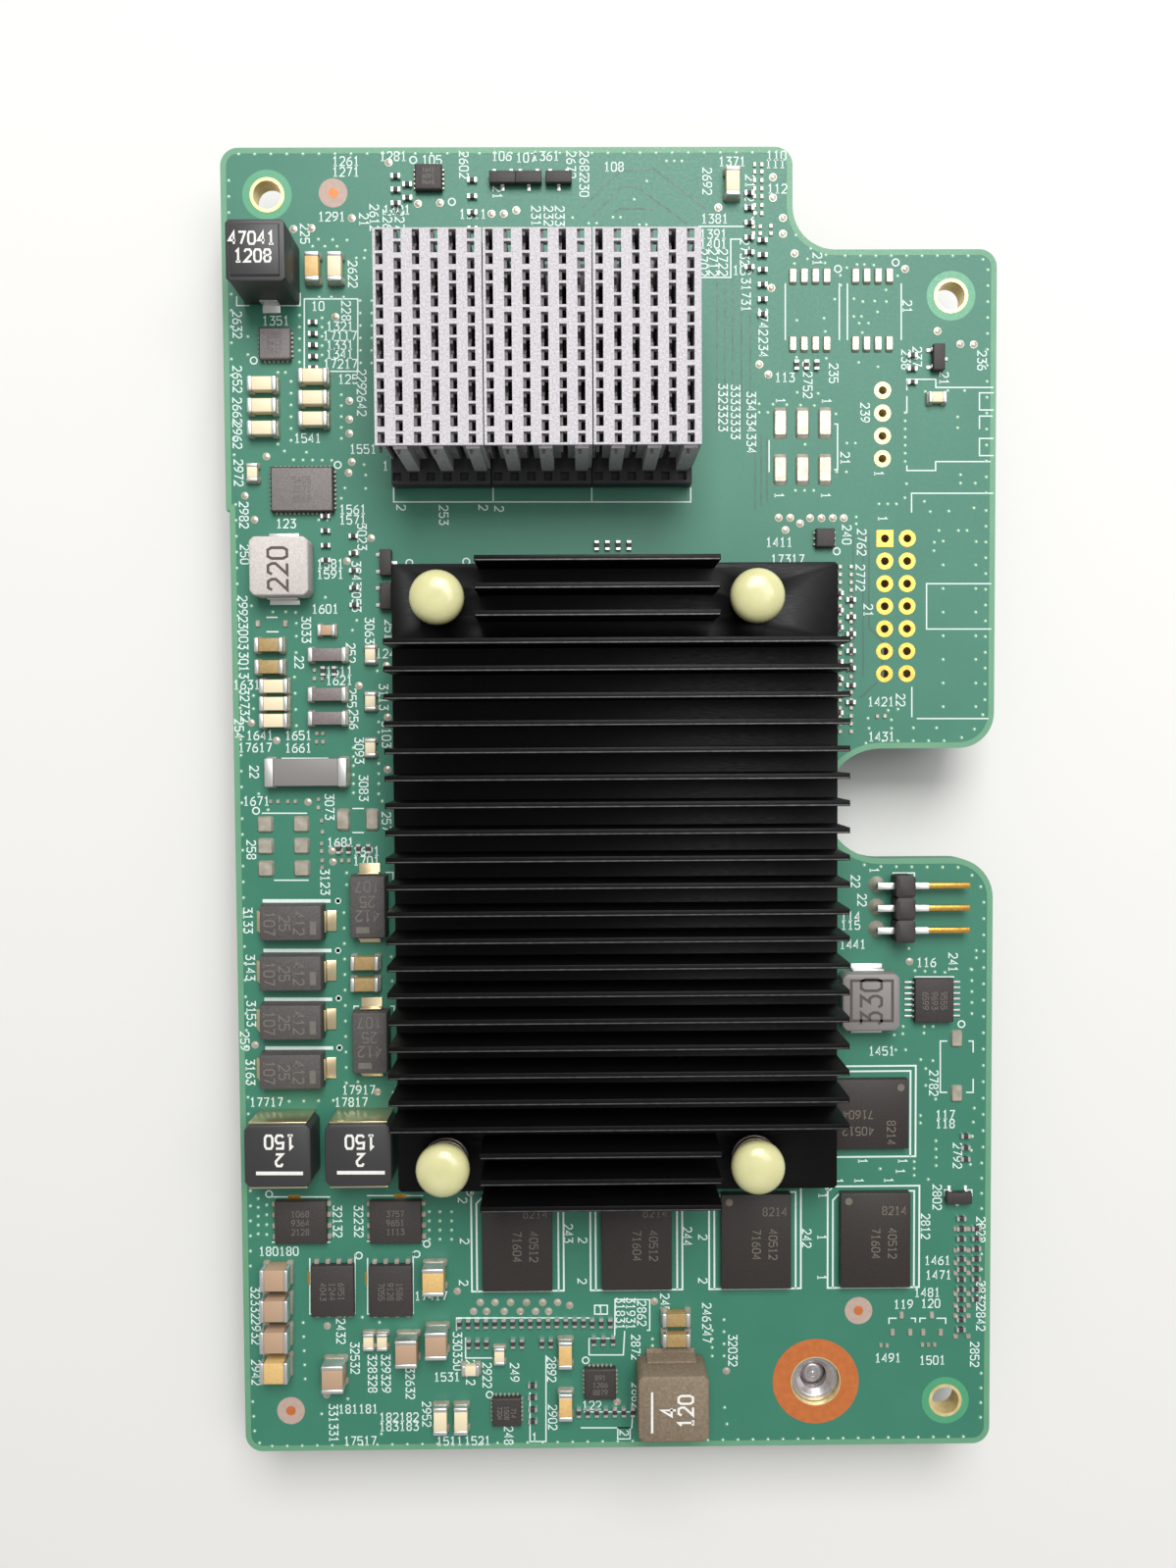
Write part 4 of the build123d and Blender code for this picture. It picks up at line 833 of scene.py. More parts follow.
# White lines in pixels; the last ones are the marks of the four power transistors
PRINT_LINES_PX = [
    box_run(310.3, 304.9, 364.8, 378.8), [(241.4, 302.2), (241.4, 311.8), (254.4, 311.8)],
    [(277.4, 311.8), (306.1, 311.8), (306.1, 298.8)], [(401.4, 497.2), (401.4, 511.9), (704.2, 511.9), (704.2, 497.2)],
    [(502.8, 497.6), (502.8, 512)], [(603.3, 497.6), (603.3, 512)], [(712, 231), (760, 231), (772, 216.5)],
    [(713, 283), (745, 283), (745, 244), (756, 244)], [(800.6, 289), (800.6, 347)], [(855.7, 289), (855.7, 347)],
    [(863.9, 289), (863.9, 347)], [(918.8, 289), (918.8, 347)],
    [(924.5, 398.3), (924.5, 386.9), (954, 386.9), (954, 395.2), (1012.8, 395.2)], [(924.5, 404), (924.5, 421.3)],
    [(924.5, 474.7), (924.5, 479.9), (953.8, 479.9), (953.8, 470.8), (1010, 470.8)],
    [(1013, 400.7), (998.5, 400.7), (998.5, 418.2), (1013, 418.2)], [(1012, 424.4), (998.5, 424.4), (998.5, 437.7)],
    [(1013, 447.2), (998.5, 447.2), (998.5, 464.7), (1013, 464.7)], [(929.3, 522.9), (929.3, 503.1), (1012.8, 503.1)],
    [(1010.6, 595.3), (944.6, 595.3), (944.6, 641.5), (1010.6, 641.5)], [(929.6, 700.5), (929.6, 731.5)],
    [(934.6, 732.8), (1007.7, 732.8)], [(784.1, 448.9), (784.1, 481.6)],
    [(850.4, 432.5), (853.9, 432.5), (853.9, 479), (850.4, 479)],
    [(910.5, 894.3), (910.5, 890.2), (932.3, 890.2), (932.3, 894.3)], [(932.3, 996.1), (972.9, 996.1)],
    [(965.7, 1061.6), (958.6, 1061.6), (958.6, 1113.9), (965.7, 1113.9)],
    [(987.3, 1061.6), (992.1, 1061.6), (992.1, 1073.3)], [(992.1, 1100), (992.1, 1113.9), (984.9, 1113.9)],
    [(359.3, 824.5), (371.1, 824.5)], [(359.3, 849), (371.1, 849)], [(266.9, 829.3), (313.2, 829.3)],
    [(279.3, 897.6), (314.7, 897.6)], [(287, 773.3), (334.8, 773.3)], [(271.7, 629.6), (283.1, 629.6)],
    [(271.7, 644.3), (284.1, 644.3)], [(393.1, 889.6), (400.8, 889.6), (400.8, 897.2)],
    [(361, 1031), (361, 1026), (366, 1026)], [(398, 1026), (402, 1026), (402, 1031)],
    [(465.5, 1357), (465.5, 1343.9), (601, 1343.9)],
    [(600.6, 1364.7), (626.7, 1364.7), (627.1, 1324.9), (662.4, 1325.3), (662.4, 1356.5), (659.4, 1356.5)],
    [(636.9, 1357.1), (635.5, 1381.6), (600.6, 1381.6), (600.6, 1364.7)],
    [(474.7, 1363.7), (474.7, 1384.7), (501.8, 1384.7)],
    [(556.7, 1382), (556.7, 1469.8), (540.4, 1469.8), (540.4, 1419.8)],
    [(592, 1455.9), (644.1, 1455.9), (645.1, 1439.6), (595.1, 1439.6)], box_run(629.8, 1455.9, 642.4, 1467.3),
    box_run(606.3, 1331, 619.2, 1340), [(906.3, 1350), (906.3, 1344.2), (914.2, 1344.2)],
    [(928.4, 1344.2), (933.2, 1344.2), (933.2, 1348.4)], [(937.8, 1348.4), (937.8, 1344.2), (944.1, 1344.2)],
    [(954.7, 1344.2), (964.1, 1344.2), (964.1, 1350)], [(963.1, 1220), (963.1, 1213.3), (968.3, 1213.3)],
    [(984.1, 1213.3), (990.8, 1213.3), (990.8, 1220)], [(277.3, 1220.5), (336.7, 1220.5)],
    [(374.2, 1219.2), (431.6, 1219.2)], [(277.3, 1266.6), (336.7, 1266.6)], [(374.2, 1265.6), (431.6, 1265.6)],
    [(315.9, 1282.8), (315.9, 1339.8), (318.9, 1339.8)], [(362, 1278.9), (362, 1339.8)],
    [(374.8, 1282.8), (374.8, 1339.8), (377.8, 1339.8)], [(421.3, 1276.3), (421.3, 1339.8)],
]
THICK_LINES_PX = (
    [[(267.8 + 0.9 * k, v), (337.1 + 0.9 * k, v)] for k, v in enumerate((918.7, 969.3, 1019, 1068.7))]
    + [[(u - 3, v), (u + 3, v)] for u, v in ((344.7, 918.7), (344.7, 969.3), (345.3, 1018), (346.2, 1068.4))]
    + [[(u, v - 3), (u, v + 3)] for u, v in ((344.7, 918.7), (344.7, 969.3), (345.3, 1018), (346.2, 1068.4))]
)
TRACKS_PX = (
    [[(593.7, 211.7), (632, 174.4), (666.4, 171.6)], [(604.3, 220.4), (634, 189.7), (649, 190.7)],
     [(626, 216.5), (632, 212.7), (666, 212.7)], [(894.8, 695.1), (877.6, 711.4)],
     [(666.4, 171.6), (690, 190), (722, 214)], [(649, 190.7), (668, 204), (700, 228)]]
    + [[(u, 285), (u, 440)] for u in (731, 739, 747, 756, 765)]
    + [[(770 + 6 * k, 440 + 3 * k), (770 + 6 * k, 520 - 4 * k)] for k in range(3)]
    + [[(870, 545), (870, 700)], [(880, 545), (880, 690)], [(886, 545), (886, 640), (900, 654), (900, 690)]]
)

# Printed numerals in pixels, by turn in degrees and how many
NUMERALS_PX = {
    (0, 1): [(612.4, 1335.5), (545.1, 1465.7), (393.1, 475.2)],
    (0, 2): [(324.3, 312.2)],
    (0, 3): [(440.4, 163.3), (511.5, 158.2), (536.3, 161), (625.9, 170.2), (757.3, 275.8), (791.6, 157.2),
             (790.6, 166.8), (792.5, 192.6), (800.2, 385), (867.1, 934.5), (867.1, 943.4), (944.5, 981.4),
             (963.7, 1136.7), (963.7, 1145.8), (921, 1330), (948.8, 1329), (680.8, 1386.5), (603.3, 1433),
             (291.7, 533.9), (393.1, 666.5), (354.9, 386.8)],
    (0, 4): [(352.6, 164.5), (352.6, 175.4), (400.8, 155.3), (338.2, 221.1), (404.6, 214.2), (482.1, 218.4),
             (346.6, 332.8), (346.6, 352), (346.3, 361), (281.2, 327.1), (556.4, 154.3), (746.4, 164.9),
             (728.6, 223.2), (727.3, 238.9), (727.3, 248.7), (794.4, 553.1), (898, 715.6), (898.6, 751.2),
             (869.3, 963), (898.8, 1071.7), (955.7, 1285.2), (956.8, 1300), (945.2, 1317.9), (905.2, 1384.6),
             (950.5, 1386.9), (458.4, 1471.8), (486.9, 1473.3), (455.7, 1404), (313.7, 446.9), (370.2, 458),
             (359.7, 519.6), (359.7, 530.1), (336.7, 575.1), (336.7, 585.6), (331.5, 621), (345.9, 684.3),
             (345.9, 693.9), (251.6, 698.3), (265, 749.9), (304.2, 749.9), (304.2, 762.7), (261.5, 816.9),
             (347.2, 859), (373.6, 868), (373.6, 877.7)],
    (0, 5): [(346.6, 342.4), (347.2, 371.1), (803, 570.3), (439.5, 1321.4), (367.3, 1469.1), (260.2, 762.4),
             (271.7, 1123.8), (358.1, 1123.8), (365.8, 1111.4)],
    (0, 6): [(284.3, 1275.9), (365.3, 1436.7), (406.9, 1445), (406.9, 1454.5)],
    (-90, 1): [(842.7, 409.2), (795.8, 408.7), (794.4, 505.4), (841.8, 505.4), (896, 483), (899.8, 529),
               (891.3, 887.5), (879.6, 1184), (920.3, 1184), (917.9, 1194.4), (854.9, 1204.3), (875.7, 1204),
               (906, 1203.7), (839, 1219.2), (837.9, 1261.7), (837.9, 1302.7), (594, 1264.7), (593.5, 1306.5),
               (473.7, 1265.7), (472.7, 1308.2), (471.6, 1223.9), (716.5, 1261.6), (716.5, 1305.9),
               (636.3, 1461), (409, 517.7), (492.6, 517.7), (508.9, 519)],
    (-90, 2): [(371.1, 224.2), (507.1, 196.4), (764.6, 185), (764, 206), (833.3, 264.4), (925, 312.8),
               (962.4, 385.9), (861.6, 467.5), (885.2, 622.5), (918.1, 713.9), (872.1, 898.8), (878.8, 917.9),
               (305.1, 675.5), (259.2, 787.2)],
    (-90, 3): [(310.9, 238.5), (395.1, 224.2), (407.5, 224.2), (353, 317), (368.8, 386.8), (595.7, 190.7),
               (546.5, 220.4), (559.3, 220.4), (570.8, 220.4), (778.2, 354.3), (849.9, 380.7), (1001.1, 367.7),
               (935.1, 363.9), (923.6, 366.8), (881.9, 420.9), (863.3, 545.3), (971.6, 981.4), (822.5, 1262.7),
               (579.4, 1257.6), (700.8, 1260.6), (677.8, 1328.4), (720.6, 1338.2), (720.6, 1359.6),
               (518.6, 1465.7), (524.7, 1399.4), (249.7, 565.5), (397, 642), (357.7, 665.9), (452.4, 525.3),
               (243.9, 743.2), (358.7, 711.7), (360.6, 733.7), (394.1, 837.9), (256.3, 866.6), (249.7, 1061.7)],
    (-90, 4): [(472.9, 163), (381.7, 222.3), (359.7, 279.7), (242, 331.3), (368.8, 410.7), (242, 386.8),
               (242, 419.3), (582.3, 160), (595.7, 163), (721, 185), (716.8, 267.8), (727.1, 267.8),
               (737.2, 267.8), (759.2, 257.7), (778.2, 328.5), (823.5, 392.6), (878.5, 553.1), (877.1, 589.2),
               (951.9, 1104.4), (976.1, 1178.5), (955.4, 1220.8), (943.5, 1250.5), (999.9, 1253.7),
               (999.9, 1318.9), (999.9, 1344.2), (993.6, 1381), (654.3, 1339.2), (648.2, 1373.9),
               (648.6, 1422.9), (562.4, 1396.3), (563.5, 1445.3), (479.8, 1399.4), (496.7, 1402.4),
               (261.1, 1358), (261.1, 1399.5), (435.1, 1442), (242, 444), (243.3, 482.3), (248.7, 525.3),
               (247.7, 621), (248.3, 648.7), (248.7, 678.4), (369.2, 547.3), (312.4, 642), (363.5, 585.6),
               (363.5, 610.4), (376.9, 643), (336.1, 822.6), (370.8, 803.5), (366.4, 765.2), (394.1, 749),
               (391.2, 710.7), (331.5, 899.1), (252.9, 938.4), (255.4, 986.5), (256.3, 1033.5), (255.4, 1093.2)],
    (-90, 5): [(760.6, 300.7), (632.4, 1339.2), (643, 1339.2), (747.1, 1376.9), (344.2, 1245.3),
               (365.7, 1245.3), (260.5, 1328.3), (347.5, 1354), (362, 1384.7), (418.3, 1410.4), (249.7, 719.3)],
    (-90, 6): [(379.8, 1400.5), (393.6, 1400.5), (466.6, 1377.7), (340.2, 1450.9)],
    (-90, 7): [(737.2, 415.5)],
    (-90, 8): [(750, 420)],
    (-90, 9): [(766, 430.8)],
}


def barrel(name, bore, wall, rim, steps=32):
    """A plated hole: a tube through the board with a flat ring on both sides."""
    low, top = BOARD_LOW, BOARD_TOP
    profile = [(bore, low - PLATE), (rim, low - PLATE), (rim, low), (wall, low), (wall, top), (rim, top),
               (rim, top + PLATE), (bore, top + PLATE)]
    return lathe(name, profile, steps, closed=True)


def laid(name, template, spots, finish_name, slot, level=BOARD_TOP):
    """Copies of a template on the board; spots are x, y and if needed turn and size."""
    places = [(*spot[:2], level, *(spot[2:] or (0.0,))) for spot in spots]
    return placed(name, template, places, finish_name, slot, angle=SOFT_ANGLE)


def pads(name, places, finish_name, slot, crown):
    """Rounded pads of any size: places are x, y, width and depth."""
    template = lozenge("pad", 1.0, 1.0, PLATE, PAD_CORNER, crown)
    return laid(name, template, [(x, y, 0.0, (w, d, 1.0)) for x, y, w, d in places], finish_name, slot)


# Radii of the plated holes: open bore, hole in the board and flat ring
MOUNT_TUBE = dict(bore=1.56, wall=1.64, rim=1.93, steps=40)
ROW_TUBE = dict(bore=0.46, wall=0.53, rim=0.95, steps=20)
# Inner and outer radii of the flat rings
HALO_RADII, FIRST_PAD_RADII = (1.95, 2.75), (0.8, 1.34)
CAPTIVE_RING_RADII, CAPTIVE_TUBE_RADII = (2.9, 5.0), (2.79, 2.89)
DISC_RADIUS, DOT_RADIUS = 1.6, 0.55
SQUARE_TURN = 45.0
PAD_CORNER, BARE_CROWN, SMALL_CROWN = 0.16, 0.3, 0.15
TEST_PAD_DOME = [(0.0, 0.12), (0.16, 0.11), (0.3, 0.05), (0.36, 0.03), (0.44, 0.03), (0.44, 0.0), (0.0, 0.0)]


class CARD_OT_copper(bpy.types.Operator):
    """Plated holes, bare pads, test pads, fiducials and the copper ring"""
    bl_idname = "card.copper"
    bl_label = "Copper and pads"

    def execute(self, context):
        header = [(HEADER_FIRST[0] + i * HEADER_PITCH, HEADER_FIRST[1] - k * HEADER_PITCH)
                  for i in range(HEADER_COLUMNS) for k in range(HEADER_ROWS)]
        single = [(SINGLE_ROW_FIRST[0], SINGLE_ROW_FIRST[1] - k * HEADER_PITCH) for k in range(SINGLE_ROW_COUNT)]
        laid("mount_hole_plating", barrel("tube", **MOUNT_TUBE), MOUNT_HOLES, "pale_plate", "gold_pin", 0.0)
        halo = ring("halo", *HALO_RADII, TRACK_LEVEL, steps=40)
        laid("mount_hole_halos", halo, MOUNT_HOLES, "bright_mask", "laminate")
        laid("header_plating", barrel("tube", **ROW_TUBE), header, "gold_plate", "gold_pin", 0.0)
        square = ring("square", *FIRST_PAD_RADII, PLATE + 0.01, steps=4)
        laid("header_first_pad", square, [(*HEADER_FIRST, SQUARE_TURN)], "gold_plate", "gold_pin")
        laid("single_row_plating", barrel("tube", **ROW_TUBE), single, "pale_plate", "gold_pin", 0.0)

        laid("fiducial_discs", ring("disc", 0.0, DISC_RADIUS, TRACK_LEVEL), FIDUCIALS, "bare_disc", "laminate")
        laid("fiducial_dots", ring("dot", 0.0, DOT_RADIUS, PLATE, steps=20), FIDUCIALS, "copper", "gold_pin")
        captive = tuple(node_middle("captive_screw_ferrule"))[:2]
        laid("captive_hole_ring", ring("ring", *CAPTIVE_RING_RADII, PLATE, steps=64), [captive], "copper", "gold_pin")
        inner, outer = CAPTIVE_TUBE_RADII
        tube = lathe("tube", [(inner, BOARD_LOW), (outer, BOARD_LOW), (outer, BOARD_TOP + PLATE),
                              (inner, BOARD_TOP + PLATE)], 64, closed=True)
        laid("captive_hole_plating", tube, [captive], "pale_plate", "gold_pin", 0.0)

        small = [(*on_board(u, v), w, d) for u, v, w, d in SMALL_PADS_PX]
        flat = [(*on_board(u, v), w, d) for u, v, w, d in COPPER_PADS_PX]
        pads("bare_pads", BARE_PADS, "bright_solder", "tinned", BARE_CROWN)
        pads("small_bare_pads", small, "bright_solder", "tinned", SMALL_CROWN)
        pads("copper_test_pads", flat, "gold_plate", "gold_pin", crown=0.0)
        laid("test_pads", lathe("dome", TEST_PAD_DOME, 14), px_places(TEST_PADS_PX), "bright_solder", "tinned")
        return {"FINISHED"}


def px_places(places):
    return [on_board(u, v) for u, v in places]


def via_row_places():
    """The places of all vias that stand in rows."""
    return [on_board(*place) for first, last, count in VIA_ROWS_PX for place in in_row(first, last, count)]


# Sections of a via as shares of its radius and levels, on both sides of the board
VIA_RIM = [(1.0, 0.0), (0.86, 0.022), (0.6, 0.03), (0.3, 0.012), (0.0, 0.01)]
VIA_PLUG = [(0.5, 0.02), (0.36, 0.06), (0.0, 0.075)]
VIA_UNDERSIDE = [(1.0, 0.0), (0.86, -0.022), (0.4, -0.03), (0.0, -0.012)]
# Shift of the pale via tops toward the upper right: a painted highlight on the vias' own pale plugs
PLUG_HIGHLIGHT_SHIFT = 0.03
TRACK_WIDTH = 0.2


class CARD_OT_vias(bpy.types.Operator):
    """Lacquered vias and the raised tracks under the lacquer"""
    bl_idname = "card.vias"
    bl_label = "Vias and tracks"

    def execute(self, context):
        outer = context.scene.card_sizes.via_radius / MM
        spots = via_row_places() + px_places(SINGLE_VIAS_PX)
        laid("via_rings", lathe("rim", scaled(VIA_RIM, outer), 10), spots, "via_cap", "laminate")
        spots = [(x + PLUG_HIGHLIGHT_SHIFT, y + PLUG_HIGHLIGHT_SHIFT) for x, y in spots]
        laid("via_plugs", lathe("plug", scaled(VIA_PLUG, outer), 8), spots, "via_plug", "laminate")
        tracks = strokes("tracks", px_runs(TRACKS_PX), TRACK_WIDTH, BOARD_TOP + TRACK_LEVEL)
        dress(tracks, finish("track_edge"), "laminate")
        return {"FINISHED"}


MEMORY_COUNT = 5
PEN_WIDTH, BAR_WIDTH, FRAME_WIDTH, PRINT_CIRCLE_RADIUS = 0.135, 0.4, 0.2, 0.38
# Numerals lie just above the lines that they cross, and keep off the board's edge
NUMERAL_RISE, PRINT_MARGIN = 0.004, 0.5
# From a memory chip to its printed frame: left, right, below and above. The last chip is turned
FRAME_GAPS, TURNED_FRAME_GAPS = (1.3, 1.3, 0.45, 0.45), (0.45, 1.1, 1.25, 1.3)
FRAME_STEP, FRAME_CORNER = 0.6, 1.0


def circle_run(x, y, radius, count=16):
    """A closed run of points round a place."""
    turns = [2 * math.pi * k / count for k in range(count)]
    points = [(x + radius * math.cos(t), y + radius * math.sin(t)) for t in turns]
    return points + points[:1]


class CARD_OT_print(bpy.types.Operator):
    """White lines, circles and numerals printed on the board"""
    bl_idname = "card.print"
    bl_label = "White print"

    def execute(self, context):
        sizes = context.scene.card_sizes
        level = BOARD_TOP + PRINT_LEVEL
        white = finish("silk_print")
        lines = px_runs(PRINT_LINES_PX)
        lines += [circle_run(*on_board(u, v), PRINT_CIRCLE_RADIUS) for u, v in PRINT_CIRCLES_PX]
        dress(strokes("print_lines", lines, sizes.print_width / MM, level), white, "laminate")
        dress(strokes("print_bars", px_runs(THICK_LINES_PX), BAR_WIDTH, level), white, "laminate")
        frames = []
        for k in range(1, MEMORY_COUNT + 1):
            low, high = (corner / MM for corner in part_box(f"memory_chip_{k}"))
            left, right, below, above = TURNED_FRAME_GAPS if k == MEMORY_COUNT else FRAME_GAPS
            x0, x1, y0, y1 = low.x - left, high.x + right, low.y - below, high.y + above
            frames.append(box_run(x0, y0, x1, y1))
            x0, x1, y1 = x0 + FRAME_STEP, x1 - FRAME_STEP, y1 - FRAME_STEP
            frames.append([(x0, y0), (x0, y1 - FRAME_CORNER), (x0 + FRAME_CORNER, y1), (x1, y1), (x1, y0)])
        dress(strokes("memory_frames", frames, FRAME_WIDTH, level), white, "laminate")

        runs = []
        number = sizes.first_number
        limit = CAD_BOX[1].y / MM - PRINT_MARGIN
        for (turn, count), places in NUMERALS_PX.items():
            for u, v in places:
                text = (str(number) * 3)[:count]
                number += 1
                word = numerals(text, *on_board(u, v), turn, sizes.numeral_height / MM)
                levels = [y for run in word for _, y in run]
                shift = min(0.0, limit - max(levels)) + max(0.0, -limit - min(levels))
                runs += [[(x, y + shift) for x, y in run] for run in word]
        dress(strokes("numerals", runs, PEN_WIDTH, level + NUMERAL_RISE), white, "laminate")
        return {"FINISHED"}


# Openings of one connector column, as the solids have them
SLOT_LONG, SLOT_SHORT, SLOT_END, BAR_NARROW, BAR_WIDE, ROW_MARGIN = 2.13, 1.12, 0.95, 0.26, 0.53, 0.16
LONG_SLOTS = 4


def slot_rows(odd):
    """Start and length of each opening of one column, from the connector's back edge."""
    period = [(SLOT_LONG, BAR_NARROW), (SLOT_SHORT, BAR_WIDE), (SLOT_SHORT, BAR_NARROW)]
    end = [(SLOT_END, BAR_NARROW)]
    rows = period * LONG_SLOTS if odd else end + period[1:] + period * (LONG_SLOTS - 1) + end
    at = ROW_MARGIN
    for length, bar in rows:
        yield at, length
        at += length + bar


MODULES = (1, 2, 3)
FINGER_WIDTH, FINGER_RISE, FINGER_SINK, SHORT_SLOT_STRETCH = 0.3, 0.95, 0.05, 1.9
# Side of a contact finger: distance from the slot's end, and level
FINGER_SIDE = [(0.0, 0.0), (0.95, 0.0), (0.62, 0.55), (0.56, FINGER_RISE - 0.06), (0.5, FINGER_RISE),
               (0.0, FINGER_RISE)]


class CARD_OT_contacts(bpy.types.Operator):
    """Contact fingers on the blades inside the connector's slots"""
    bl_idname = "card.contacts"
    bl_label = "Connector contacts"

    def execute(self, context):
        side = [(-FINGER_WIDTH / 2, -y, z) for y, z in FINGER_SIDE]
        finger = new_piece("finger", side, (), [tuple(range(len(side)))])
        with editing(finger):
            bpy.ops.mesh.select_all(action="SELECT")
            bpy.ops.mesh.extrude_region_move(TRANSFORM_OT_translate={"value": (FINGER_WIDTH * MM, 0, 0)})
            bpy.ops.mesh.select_all(action="SELECT")
            bpy.ops.mesh.normals_make_consistent(inside=False)
        spots = []
        for module in MODULES:
            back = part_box(f"connector_housing_{module}")[1].y / MM
            blades = sorted(islands(f"connector_wafers_{module}"), key=lambda b: b[0].x)
            for k, (start, stop) in enumerate(blades):
                x, level = (start.x + stop.x) / 2, stop.z - FINGER_SINK
                for at, length in slot_rows(k % 2 == 0):
                    top = back - at
                    if length > SLOT_SHORT:
                        spots += [(x, top, level, 0.0), (x, top - length, level, 180.0)]
                    else:
                        spots.append((x, top, level, 0.0, (1.0, SHORT_SLOT_STRETCH, 1.0)))
        placed("connector_fingers", finger, spots, "contact_metal", "contact_blade")
        return {"FINISHED"}


def coil(name, reach, wire_radius, turns, height, count=10):
    """A closed helix of round wire about Z, its first turn's middle on level zero."""
    ends = [2 * math.pi * k / count for k in range(count)]
    wire_end = [(reach + wire_radius * math.cos(t), 0.0, wire_radius * math.sin(t)) for t in ends]
    piece = new_piece(name, wire_end, [(k, (k + 1) % count) for k in range(count)])
    steps = COIL_STEPS * turns
    modify(piece, "SCREW", axis="Z", angle=2 * math.pi * turns, screw_offset=(height - 2 * wire_radius) * MM,
           steps=steps, render_steps=steps, use_merge_vertices=True)
    with editing(piece):
        bpy.ops.mesh.select_all(action="SELECT")
        bpy.ops.mesh.fill_holes(sides=count)
        bpy.ops.mesh.select_all(action="SELECT")
        bpy.ops.mesh.normals_make_consistent(inside=False)
    return piece


COIL_STEPS = 24

# Push pin: radii of its cap and shank, heights of the cap's rim and crown
CAP_RADIUS, SHANK_RADIUS, CAP_RIM, CAP_CROWN, CAP_STEPS, CAP_EDGE = 2.9, 1.5, 0.5, 1.5, 8, 0.15
# Barbed end of the pin: radius, and level from the board's underside
PIN_BARB = [(0.0, -2.6), (1.15, -2.6), (1.3, -2.45), (1.9, -0.5), (1.9, -0.05), (SHANK_RADIUS, 0.0)]
# Flat top of the cap: radius, and depth under its highest point
CAP_TOP = [(0.55, 0.02), (0.0, 0.06)]
PIN_WIRE_RADIUS, PIN_COIL_REACH, PIN_COIL_TURNS = 0.21, 2.3, 3


class CARD_OT_push_pins(bpy.types.Operator):
    """Nylon push pins with round caps, and their coil springs"""
    bl_idname = "card.push_pins"
    bl_label = "Push pins"

    def execute(self, context):
        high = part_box("push_pins")[1].z / MM
        cap = high - CAP_RIM - CAP_CROWN
        profile = [(radius, BOARD_LOW + level) for radius, level in PIN_BARB]
        profile += [(SHANK_RADIUS, cap), (CAP_RADIUS - CAP_EDGE, cap), (CAP_RADIUS, cap + CAP_EDGE)]
        for k in range(CAP_STEPS - 1):
            turn = math.pi / 2 * k / CAP_STEPS
            profile.append((CAP_RADIUS * math.cos(turn) ** 0.8, cap + CAP_RIM + CAP_CROWN * math.sin(turn)))
        profile += [(radius, high - depth) for radius, depth in CAP_TOP]
        places = [(*centre(low, up), 0.0, 0.0) for low, up in islands("push_pins")]
        pins = placed("push_pin_caps", lathe("pin", profile, 36), places, "nylon", "clear_nylon", angle=40.0)
        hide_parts("push_pins")

        low, high = (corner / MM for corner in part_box("push_pin_springs"))
        start = coil("coil", PIN_COIL_REACH, PIN_WIRE_RADIUS, PIN_COIL_TURNS, high.z - low.z)
        places = [(x, y, low.z + PIN_WIRE_RADIUS, 0.0) for x, y, *_ in places]
        coils = placed("push_pin_coils", start, places, "spring_wire", "spring_wire", angle=SOFT_ANGLE)
        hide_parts("push_pin_springs")
        return {"FINISHED"}


# Ferrule: bore of its eye and of its cup, outer radii, then heights
EYE_RADIUS, CUP_RADIUS, SLEEVE_RADIUS, FLANGE_RADIUS, PRESSED_RADIUS = 1.07, 1.52, 2.4, 3.4, 2.75
FLANGE_HEIGHT, CUP_BEVEL, CUP_FLOOR, FERRULE_EDGE = 0.8, 0.6, 0.45, 0.06
CAPTIVE_STROKE, CAPTIVE_WIRE_RADIUS, CAPTIVE_COIL_TURNS = 4.0, 0.22, 5
SCREW_DEPTH = 1.8
# Turned rings on the screw's tip: radius and level
TIP_RINGS = [(0.0, -0.04), (0.0, 0.16), (0.12, 0.15), (0.24, 0.04), (0.4, 0.03), (0.46, 0.1), (0.58, 0.1),
             (0.64, 0.02), (0.84, 0.02), (0.94, 0.0), (0.94, -0.04)]
THREAD_COUNT, THREAD_PITCH, THREAD_START, THREAD_CORE = 9, 0.4, -0.55, 1.3
# One crest of the thread: radius, and drop from its upper edge
THREAD_CREST = [(1.4, 0.0), (1.47, 0.14), (1.47, 0.2), (1.4, 0.34)]


